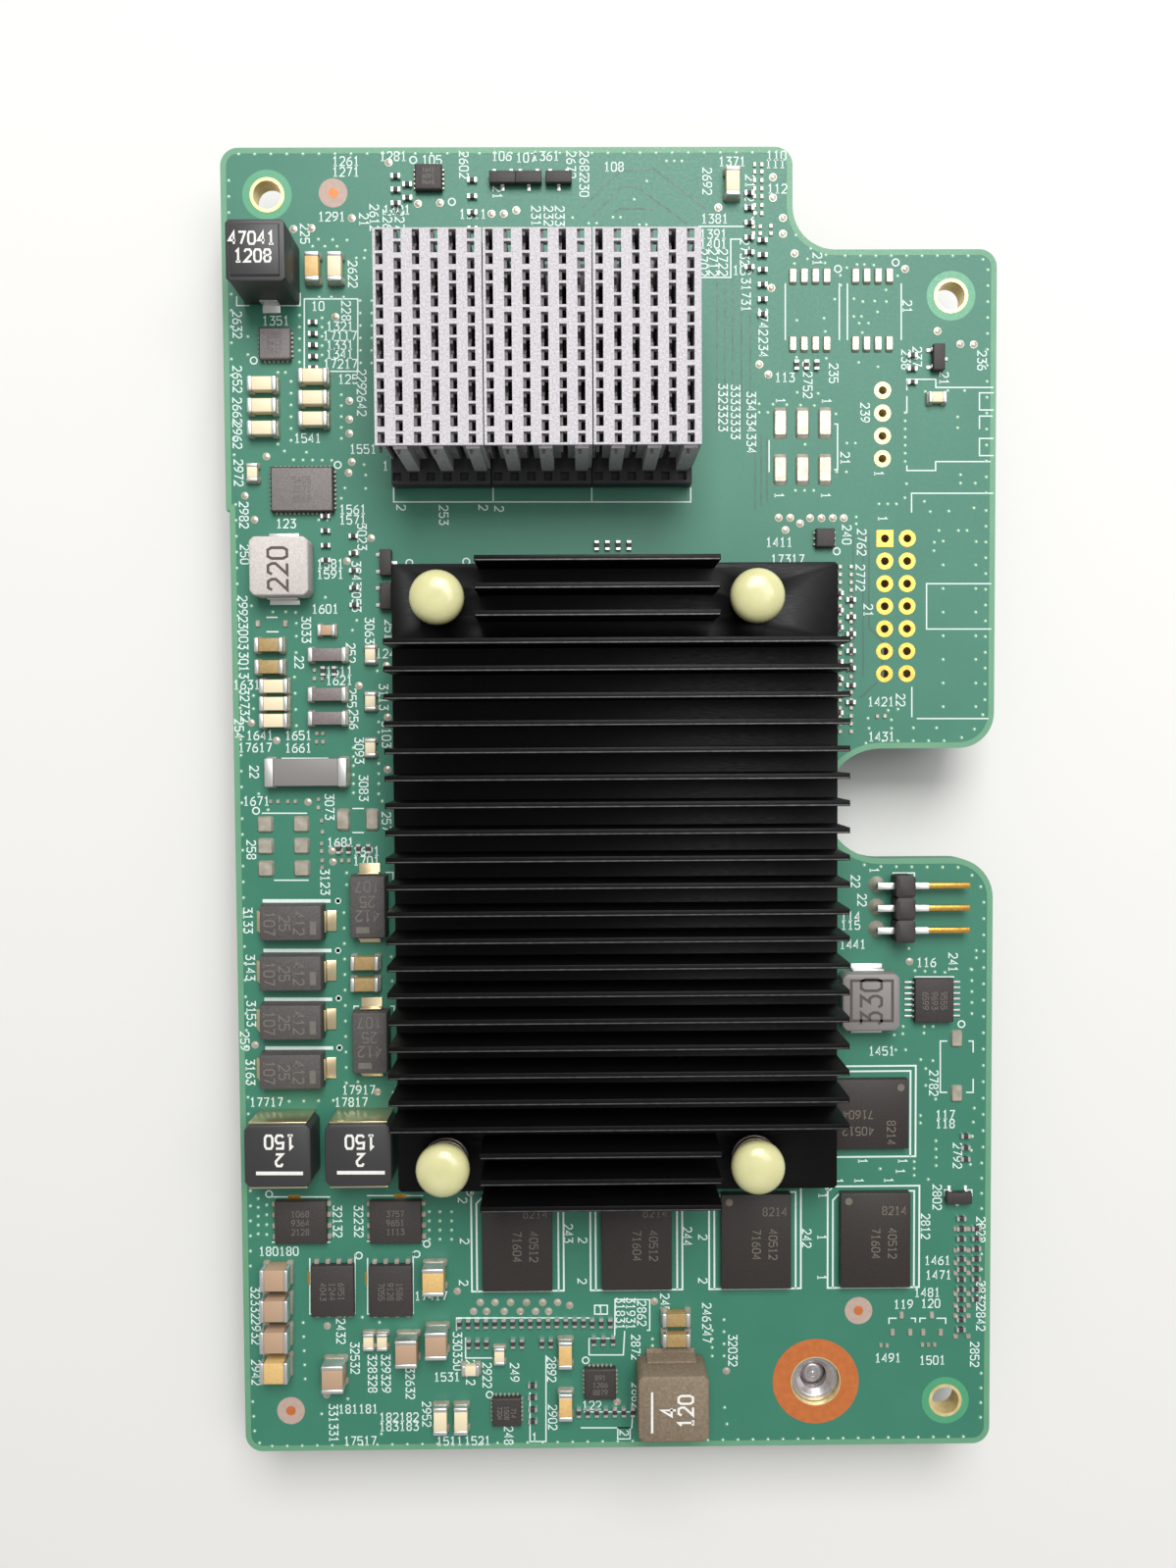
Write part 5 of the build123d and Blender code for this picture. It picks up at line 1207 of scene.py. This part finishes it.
class CARD_OT_captive_screw(bpy.types.Operator):
    """Turned ferrule and the ringed tip of the captive screw"""
    bl_idname = "card.captive_screw"
    bl_label = "Captive screw"

    def execute(self, context):
        x, y, _ = node_middle("captive_screw_ferrule")
        low, top = (corner.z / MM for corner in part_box("captive_screw_ferrule"))
        flange = BOARD_LOW - FLANGE_HEIGHT
        floor = low + CUP_FLOOR
        profile = [(EYE_RADIUS, low), (SLEEVE_RADIUS, low), (SLEEVE_RADIUS, flange), (FLANGE_RADIUS, flange),
                   (FLANGE_RADIUS, BOARD_LOW), (PRESSED_RADIUS, BOARD_LOW), (PRESSED_RADIUS, top),
                   (CUP_RADIUS + CUP_BEVEL, top), (CUP_RADIUS, top - CUP_BEVEL), (CUP_RADIUS, floor),
                   (EYE_RADIUS, floor)]
        turned = lathe("ferrule", profile, 48, closed=True)
        modify(turned, "BEVEL", width=FERRULE_EDGE * MM, segments=2, limit_method="ANGLE",
               angle_limit=math.radians(25))
        ferrule = placed("ferrule_turned", turned, [(x, y, 0.0, 0.0)], "steel", "bright_steel", angle=35.0)
        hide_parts("captive_screw_ferrule")

        low, high = (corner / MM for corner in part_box("captive_screw_spring"))
        length = high.z - low.z
        helix = coil("helix", (high.x - low.x) / 2 - CAPTIVE_WIRE_RADIUS, CAPTIVE_WIRE_RADIUS,
                     CAPTIVE_COIL_TURNS, length)
        spring = placed("captive_spring_coil", helix, [(x, y, low.z + CAPTIVE_WIRE_RADIUS, 0.0)],
                        "spring_wire", "spring_wire", angle=SOFT_ANGLE)
        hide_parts("captive_screw_spring")
        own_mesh(spring)

        thread = []
        for k in range(THREAD_COUNT):
            level = THREAD_START - THREAD_PITCH * k
            thread += [(radius, level - drop) for radius, drop in THREAD_CREST]
        thread += [(THREAD_CORE, thread[-1][1]), (THREAD_CORE, thread[0][1])]
        tip = [(x, y, BOARD_TOP - SCREW_DEPTH, 0.0)]
        placed("screw_tip", lathe("tip", TIP_RINGS, 40), tip, "steel", "bright_steel", "captive_screw", 35.0)
        placed("screw_thread", lathe("thread", thread, 40, closed=True), tip, "steel", "bright_steel",
               "captive_screw", 35.0)
        return {"FINISHED"}


SOLDERED_NODES = ("large_ceramics_end_caps", "medium_ceramics_end_caps", "small_ceramics_end_caps",
                  "ferrite_beads_end_caps", "long_ferrite_end_caps")
# Solder beads: how far they reach past an end cap, and their height
SOLDER_REACH, BEAD_SHARE, BEAD_LIMIT = 0.34, 0.5, 0.7
# Feet of the controller chips, with sizes across, along and up
FINE_PITCH, COARSE_PITCH, FINE_PITCH_FROM, FOUR_SIDED_FROM = 0.5, 0.65, 2.9, 3.2
FOOT_MARGIN, FOOT_OUT, SIDE_FOOT, END_FOOT = 0.7, 0.05, (0.36, 0.26, 0.22), (0.26, 0.36, 0.22)
# Leads of the power transistors
LEAD_COUNT, LEAD_PITCH, LEAD_OUT, LEAD_SIZE, UPRIGHT_MARGIN = 4, 1.27, 0.15, (0.6, 0.62, 0.35), 0.3
# Bright ends of the smallest chips
CAP_OVERLAP, CAP_LENGTH_SHARE, CAP_OUT = (0.05, 0.05, 0.04), 0.3, 0.04


class CARD_OT_solder(bpy.types.Operator):
    """Solder round the end caps, and bright ends on the smallest chips"""
    bl_idname = "card.solder"
    bl_label = "Solder"

    def execute(self, context):
        spots = []
        for node in SOLDERED_NODES:
            for low, high in islands(node):
                size = high - low
                height = min(size.z * BEAD_SHARE, BEAD_LIMIT)
                spots.append((*centre(low, high), BOARD_TOP, 0.0,
                              (size.x + SOLDER_REACH, size.y + SOLDER_REACH, height)))
        bead = lozenge("bead", 1.0, 1.0, 0.55, 0.16, 0.45)
        placed("solder_beads", bead, spots, "bright_solder", "tinned", angle=60.0)

        feet = []
        for low, high in islands("controller_chips"):
            wide, deep = high.x - low.x, high.y - low.y
            x, y = centre(low, high)
            pitch = FINE_PITCH if wide > FINE_PITCH_FROM else COARSE_PITCH
            for off in even_steps(deep - FOOT_MARGIN, pitch):
                feet += [(x + way * (wide / 2 + FOOT_OUT), y + off, BOARD_TOP, 0.0, SIDE_FOOT) for way in (-1, 1)]
            if wide > FOUR_SIDED_FROM:
                for off in even_steps(wide - FOOT_MARGIN, pitch):
                    feet += [(x + off, y + way * (deep / 2 + FOOT_OUT), BOARD_TOP, 0.0, END_FOOT) for way in (-1, 1)]
        for low, high in islands("power_transistors"):
            x, y = centre(low, high)
            upright = high.y - low.y > high.x - low.x + UPRIGHT_MARGIN
            half = (high.y - low.y if upright else high.x - low.x) / 2 + LEAD_OUT
            for k in range(LEAD_COUNT):
                off = (k - (LEAD_COUNT - 1) / 2) * LEAD_PITCH
                for way in (-1, 1):
                    place = (x + off, y + way * half) if upright else (x + way * half, y + off)
                    across, along, tall = LEAD_SIZE
                    size = (across, along, tall) if upright else (along, across, tall)
                    feet.append((*place, BOARD_TOP, 0.0, size))
        foot = lozenge("foot", 1.0, 1.0, 0.7, 0.2, 0.3)
        placed("chip_feet", foot, feet, "bright_solder", "tinned", angle=60.0)

        caps = []
        for low, high in islands("tiny_chip_parts"):
            size, middle = high - low, (low + high) / 2
            along = 0 if size.x > size.y else 1
            for way in (-1, 1):
                place, scale = middle.copy(), size + Vector(CAP_OVERLAP)
                scale[along] = size[along] * CAP_LENGTH_SHARE
                place[along] += way * (size[along] / 2 - scale[along] / 2 + CAP_OUT)
                caps.append((place.x, place.y, BOARD_TOP, 0.0, tuple(scale)))
        cap = lozenge("cap", 1.0, 1.0, 0.85, 0.1, 0.15)
        placed("tiny_chip_ends", cap, caps, "tinned", "tinned", angle=60.0)
        return {"FINISHED"}


# Marks on the parts, each a piece: finish, level, pen width, then numerals as
# (u, v, turn, height, text) and bars as runs of pixels
PART_MARKS = {
    "tall_inductor_marks": ("white_mark", "tall_inductor", 0.22,
                            [(256.5, 242.6, 0, 1.25, "47041"), (257.7, 260.6, 0, 1.25, "1208")], []),
    "block_inductor_marks": ("white_mark", "block_inductor_1", 0.26,
                             [(285, 1164.6, 180, 1.45, "150"), (367.3, 1164.6, 180, 1.45, "150"),
                              (284.7, 1183.1, 180, 1.3, "2"), (367.3, 1182.8, 180, 1.3, "2")], []),
    "block_inductor_bars": ("white_mark", "block_inductor_1", 0.4, [],
                            [[(261.1, 1196.5), (309, 1196.5)], [(343.6, 1195.8), (392.4, 1195.8)]]),
    "output_inductor_marks": ("white_mark", "output_inductor", 0.26,
                              [(699.2, 1439.2, 90, 1.6, "120"), (681.8, 1440.2, 90, 1.6, "4")],
                              [[(664.9, 1419.8), (664.9, 1461.6)]]),
    "edge_inductor_marks": ("engraved", "edge_inductor", 0.3, [(888.4, 1021.5, 90, 2.3, "330")],
                           [box_run(868, 1000, 910, 1041)]),
    "square_inductor_marks": ("engraved", "square_inductor", 0.3, [(283, 580, 90, 2.1, "220")], []),
}


# Polymer capacitors: place along the case and text, then the bar's ends along and across it
POLYMER_TEXTS = ((-2.35, "107"), (-0.65, "25"), (0.95, "412"))
POLYMER_BAR = ((2.55, 1.3), (2.55, -0.2))
POLYMER_TEXT_HEIGHT, POLYMER_PEN, POLYMER_BAR_WIDTH = 1.15, 0.16, 0.7
# Memory chips: place along and across, text and turn
MEMORY_TEXTS = ((1.9, -0.3, "40512", -90), (0.0, -0.3, "71604", -90), (2.1, 3.5, "8214", 0))
MEMORY_TEXT_HEIGHT, MEMORY_PEN = 0.9, 0.12
DOT_INSET, MEMORY_DOT_RADIUS, MEMORY_DOT_HEIGHT = 0.9, 0.42, 0.02
# Other chips: smallest one that has marks, then the height of its three rows
MARKED_FROM, CHIP_TEXT_SHARE, CHIP_TEXT_LIMIT, CHIP_ROW_STEP, CHIP_PEN = 2.2, 0.15, 0.65, 1.6, 0.08


def raised_strokes(name, runs, width):
    """Printed lines on surfaces of several levels: each point also gives the level under it."""
    whole = bmesh.new()
    for run in runs:
        piece = strokes("stroke", [[p[:2] for p in run]], width, run[0][2] + PRINT_LEVEL)
        whole.from_mesh(piece.data)
        discard(piece)
    return piece_of(name, whole)


class CARD_OT_marks(bpy.types.Operator):
    """Plain numerals and bars on inductors, capacitors and chips"""
    bl_idname = "card.marks"
    bl_label = "Part marks"

    def execute(self, context):
        for name, (finish_name, node, pen, texts, bars) in PART_MARKS.items():
            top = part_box(node)[1].z / MM
            runs = px_runs(bars, top - BOARD_TOP)
            for u, v, turn, height, text in texts:
                runs += numerals(text, *on_board(u, v, top - BOARD_TOP), turn, height)
            dress(strokes(name, runs, pen, top + PRINT_LEVEL), finish(finish_name), "chip_black")

        runs, bars = [], []
        for low, high in islands("polymer_capacitors"):
            x, y = centre(low, high)
            wide = high.x - low.x > high.y - low.y
            top = high.z + PRINT_LEVEL
            c, s, turn = (1, 0, -90) if wide else (0, -1, 180)
            for along, text in POLYMER_TEXTS:
                runs += numerals(text, x + c * along, y + s * along, turn, POLYMER_TEXT_HEIGHT)
            bars.append([(x + c * along + s * across, y + s * along - c * across) for along, across in POLYMER_BAR])
        dress(strokes("polymer_marks", runs, POLYMER_PEN, top), finish("chip_mark"), "chip_black")
        dress(strokes("polymer_bars", bars, POLYMER_BAR_WIDTH, top), finish("chip_mark"), "chip_black")

        dots, runs = [], []
        for k in range(1, MEMORY_COUNT + 1):
            low, high = (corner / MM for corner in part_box(f"memory_chip_{k}"))
            x, y = centre(low, high)
            turned = k == MEMORY_COUNT
            for along, across, text, turn in MEMORY_TEXTS:
                px, py = (across, -along) if turned else (along, across)
                turn += -90 if turned else 0
                runs += numerals(text, x + px, y + py, turn, MEMORY_TEXT_HEIGHT)
            dot_x = high.x - DOT_INSET if turned else low.x + DOT_INSET
            dots.append((dot_x, high.y - DOT_INSET, high.z, 0.0))
        marks = strokes("memory_marks", runs, MEMORY_PEN, high.z + PRINT_LEVEL)
        dress(marks, finish("memory_mark"), "chip_black")
        dot = ring("dot", 0.0, MEMORY_DOT_RADIUS, MEMORY_DOT_HEIGHT, steps=20)
        placed("memory_dots", dot, dots, "memory_mark", "chip_black")

        runs = []
        for node in ("controller_chips", "power_transistors", "management_chip"):
            for low, high in islands(node):
                size = min(high.x - low.x, high.y - low.y)
                if size < MARKED_FROM:
                    continue
                x, y = centre(low, high)
                height = min(size * CHIP_TEXT_SHARE, CHIP_TEXT_LIMIT)
                turn = -90 if high.y - low.y > high.x - low.x else 0
                c, s = (0, 1) if turn == 0 else (1, 0)
                for row in (-1, 0, 1):
                    text = str(random.randint(100, 9999))
                    step = row * height * CHIP_ROW_STEP
                    place = (x - c * step, y - s * step)
                    runs += [[(*p, high.z) for p in run] for run in numerals(text, *place, turn, height)]
        piece = raised_strokes("chip_marks", runs, CHIP_PEN)
        dress(piece, finish("chip_mark"), "chip_black")
        return {"FINISHED"}


# Painted highlight on each fin tip: inset from the fin's front edge, cut back at the ends, width and rise over the tip
FIN_HIGHLIGHT_INSET, FIN_HIGHLIGHT_END, FIN_HIGHLIGHT_WIDTH, FIN_HIGHLIGHT_RISE = 0.13, 0.12, 0.11, 0.005


class CARD_OT_fin_edges(bpy.types.Operator):
    """Painted highlights along the tips of the heat sink's fins"""
    bl_idname = "card.fin_edges"
    bl_label = "Fin edges"

    def execute(self, context):
        shape = bmesh.new()
        shape.from_mesh(frame["nodes"]["heat_sink"].data)
        bmesh.ops.remove_doubles(shape, verts=shape.verts, dist=WELD)
        bmesh.ops.dissolve_limit(shape, angle_limit=math.radians(1.0), verts=shape.verts, edges=shape.edges)
        tip = max(point.co.z for point in shape.verts)
        runs = []
        for face in shape.faces:
            if face.normal.z > UPWARD and face.calc_center_median().z > tip - 10 * WELD:
                xs = [point.co.x / MM for point in face.verts]
                y = min(point.co.y for point in face.verts) / MM + FIN_HIGHLIGHT_INSET
                runs.append([(min(xs) + FIN_HIGHLIGHT_END, y), (max(xs) - FIN_HIGHLIGHT_END, y)])
        shape.free()
        edges = strokes("fin_tip_edges", runs, FIN_HIGHLIGHT_WIDTH, tip / MM + FIN_HIGHLIGHT_RISE)
        dress(edges, finish("painted_fin_highlight"), "black_anodised")
        return {"FINISHED"}


# How far a tint reaches from its place, and the level that its pixel is taken at
TINT_REACH, TINT_LEVEL = 1.7, 1.0


def tint(piece, finish_name, places):
    """Gives the solids of a group near the given pixels another finish."""
    piece.data.materials.append(finish(finish_name))
    other = len(piece.data.materials) - 1
    centres = [Vector(on_board(u, v, TINT_LEVEL)) * MM for u, v in places]
    for polygon in piece.data.polygons:
        if any((polygon.center.xy - point).length < TINT_REACH * MM for point in centres):
            polygon.material_index = other


# Group, finish and places in pixels of the solids that differ from the rest of their group; the two lighter controller
# chips differ only by a painted highlight
TINTS = [
    ("large_ceramics_finish", "ceramic_amber", [(282, 1396), (441, 1300)]),
    ("medium_ceramics_finish", "ceramic_amber", [(317, 271), (576, 1392), (577, 1447)]),
    ("medium_ceramics_finish", "ceramic_olive", [(690, 1348), (690, 1374), (376, 1003), (376, 983),
                                                 (274, 658), (274, 680)]),
    ("small_ceramics_finish", "ceramic_brown", [(276, 699), (277, 717), (280, 735), (332, 642)]),
    ("ferrite_beads_finish", "bead_grey", [(332, 667), (332, 707), (332, 731)]),
    # Painted highlight on two controller chips
    ("controller_chips_finish", "painted_chip_highlight", [(281, 350), (308, 499)]),
]


class CARD_OT_tints(bpy.types.Operator):
    """Amber, olive and brown bodies among the chip capacitors"""
    bl_idname = "card.tints"
    bl_label = "Capacitor colours"

    def execute(self, context):
        for name, finish_name, places in TINTS:
            tint(bpy.data.objects[name], finish_name, places)
        return {"FINISHED"}


PIN_COUNT = 3
CELL_CORNER, CELL_CROWN = 0.38, 0.2
# Where the silver part of the middle pin ends, and its level over the board
SILVER_END_PX, SILVER_LEVEL = (946.6, 920), 1.3
SLEEVE_WIDTH, SLEEVE_HEIGHT, BACK_SLEEVE = 0.69, 0.67, 1.04
JOINT_INSET = 0.25
JOINT_DOME = [(0.95, 0.0), (0.9, 0.08), (0.62, 0.3), (0.45, 0.8), (0.2, 1.15), (0.0, 1.2)]


class CARD_OT_pin_row(bpy.types.Operator):
    """Three chamfered cells of the pin row, and the silver part of its pins"""
    bl_idname = "card.pin_row"
    bl_label = "Pin row"

    def execute(self, context):
        low, high = (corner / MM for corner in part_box("pin_row_body"))
        size = high - low
        step = size.y / PIN_COUNT
        cell = lozenge("cell", size.x, step, size.z - CELL_CROWN, CELL_CORNER, CELL_CROWN)
        x, _ = centre(low, high)
        middles = [(x, low.y + (k + 0.5) * step, low.z, 0.0) for k in range(PIN_COUNT)]
        cells = placed("pin_row_cells", cell, middles, "mould_black", "chip_black", angle=40.0)
        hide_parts("pin_row_body")

        start, _ = (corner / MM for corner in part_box("pin_row_pins"))
        pins = sorted(islands("pin_row_pins"), key=lambda b: b[0].y)
        silver_end = on_board(*SILVER_END_PX, SILVER_LEVEL)[0]
        sleeves, joints = [], []
        for pin_low, pin_high in pins:
            _, y = centre(pin_low, pin_high)
            level = pin_high.z - SLEEVE_HEIGHT
            sleeves.append(((high.x + silver_end) / 2, y, level, 0.0, (silver_end - high.x, 1.0, 1.0)))
            sleeves.append(((low.x + start.x) / 2, y, level, 0.0, (low.x - start.x, BACK_SLEEVE, BACK_SLEEVE)))
            joints.append((start.x + JOINT_INSET, y, BOARD_TOP, 0.0))
        sleeve = lozenge("sleeve", 1.0, SLEEVE_WIDTH, SLEEVE_HEIGHT, 0.06, 0.02)
        placed("pin_row_sleeves", sleeve, sleeves, "tinned", "gold_pin")
        placed("pin_row_joints", lathe("blob", JOINT_DOME, 20), joints, "bright_solder", "tinned")
        return {"FINISHED"}


UNDER_ROWS, UNDER_MARGIN = 12, 1.2
# Ring and tip of a press-fit pin: radius, and level from the board's underside
EYELET = [(0.42, 0.0), (0.42, -0.03), (0.2, -0.03), (0.13, -0.5), (0.0, -0.56)]


class CARD_OT_underside(bpy.types.Operator):
    """Press-fit pin tips and rings under the connector"""
    bl_idname = "card.underside"
    bl_label = "Underside"

    def execute(self, context):
        places = []
        for module in MODULES:
            low, high = (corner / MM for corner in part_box(f"connector_housing_{module}"))
            pitch = (high.y - low.y - 2 * UNDER_MARGIN) / UNDER_ROWS
            blades = sorted(islands(f"connector_wafers_{module}"), key=lambda b: b[0].x)
            for k, (start, stop) in enumerate(blades):
                x = (start.x + stop.x) / 2
                for row in range(UNDER_ROWS):
                    y = high.y - UNDER_MARGIN - (row + 0.5 * (k % 2)) * pitch
                    places.append((x, y, BOARD_LOW, 0.0))
        placed("press_fit_tips", lathe("eyelet", EYELET, 8), places, "bright_solder", "tinned")
        outer = context.scene.card_sizes.via_radius / MM
        spots = [(x, y, BOARD_LOW, 0.0) for x, y in via_row_places()]
        placed("under_vias", lathe("rim", scaled(VIA_UNDERSIDE, outer), 8), spots, "via_cap", "laminate")
        return {"FINISHED"}


# Floor and camera limits in metres, the sensor in millimetres
FLOOR_SIZE, FLOOR_SHADE, SKY_STRENGTH = 3.0, (214, 213, 210), 0.4
CLIP, SENSOR_HEIGHT = (0.005, 10.0), 36.0
# Name, place in metres, size in metres and power in watts
LAMPS = [
    ("key", (0.05, 0.44, 0.60), 0.40, 5.9),
    ("side", (0.27, 0.15, 0.60), 0.30, 1.2),
]


class CARD_OT_stage(bpy.types.Operator):
    """Pale floor, soft studio light and the camera"""
    bl_idname = "card.stage"
    bl_label = "Stage"

    def execute(self, context):
        scene = context.scene
        bpy.ops.mesh.primitive_plane_add(size=FLOOR_SIZE, location=(0, 0, 0))
        floor = context.active_object
        floor.name = "floor"
        material = bpy.data.materials.new("floor")
        material.use_nodes = True
        shader = shader_of(material)
        shader.inputs["Base Color"].default_value = (*linear(FLOOR_SHADE), 1.0)
        shader.inputs["Roughness"].default_value = 0.9
        floor.data.materials.append(material)

        world = bpy.data.worlds.new("studio")
        world.use_nodes = True
        sky = next(n for n in world.node_tree.nodes if n.type == "BACKGROUND")
        sky.inputs["Color"].default_value = (1.0, 1.0, 1.0, 1.0)
        sky.inputs["Strength"].default_value = SKY_STRENGTH
        scene.world = world
        for name, place, size, power in LAMPS:
            light = bpy.data.lights.new(name, "AREA")
            light.shape = "SQUARE"
            light.size = size
            light.energy = power
            lamp = bpy.data.objects.new(name, light)
            scene.collection.objects.link(lamp)
            lamp.location = place
            lamp.rotation_euler = Vector(place).to_track_quat("Z", "Y").to_euler()

        camera = bpy.data.cameras.new("camera")
        camera.sensor_fit = "VERTICAL"
        camera.sensor_height = SENSOR_HEIGHT
        camera.lens = FOCAL_PX / IMAGE_HEIGHT * camera.sensor_height
        camera.clip_start, camera.clip_end = CLIP
        holder = bpy.data.objects.new("camera", camera)
        scene.collection.objects.link(holder)
        holder.matrix_world = Matrix.Translation(CAMERA_PLACE * MM) @ CAMERA_TURN.to_4x4()
        scene.camera = holder
        scene.view_settings.view_transform = "Standard"
        return {"FINISHED"}


class CARD_PT_tools(bpy.types.Panel):
    """Lists the steps that build the card"""
    bl_idname = "CARD_PT_tools"
    bl_label = "Network card"
    bl_space_type = "VIEW_3D"
    bl_region_type = "UI"
    bl_category = "Card"

    def draw(self, context):
        for step in STEPS:
            self.layout.operator(step.bl_idname)


STEPS = [CARD_OT_board, CARD_OT_copper, CARD_OT_vias, CARD_OT_print, CARD_OT_parts, CARD_OT_contacts,
         CARD_OT_push_pins, CARD_OT_captive_screw, CARD_OT_solder, CARD_OT_marks, CARD_OT_fin_edges,
         CARD_OT_tints, CARD_OT_pin_row, CARD_OT_underside, CARD_OT_stage]
CLASSES = [CardColours, CardSizes, *STEPS, CARD_PT_tools]


def register():
    for kind in CLASSES:
        bpy.utils.register_class(kind)
    bpy.types.Scene.card_colours = PointerProperty(type=CardColours)
    bpy.types.Scene.card_sizes = PointerProperty(type=CardSizes)


def unregister():
    del bpy.types.Scene.card_sizes
    del bpy.types.Scene.card_colours
    for kind in reversed(CLASSES):
        bpy.utils.unregister_class(kind)


def main():
    register()
    random.seed(7)
    for step in STEPS:
        group, name = step.bl_idname.split(".")
        getattr(getattr(bpy.ops, group), name)()


if __name__ == "__main__":
    main()
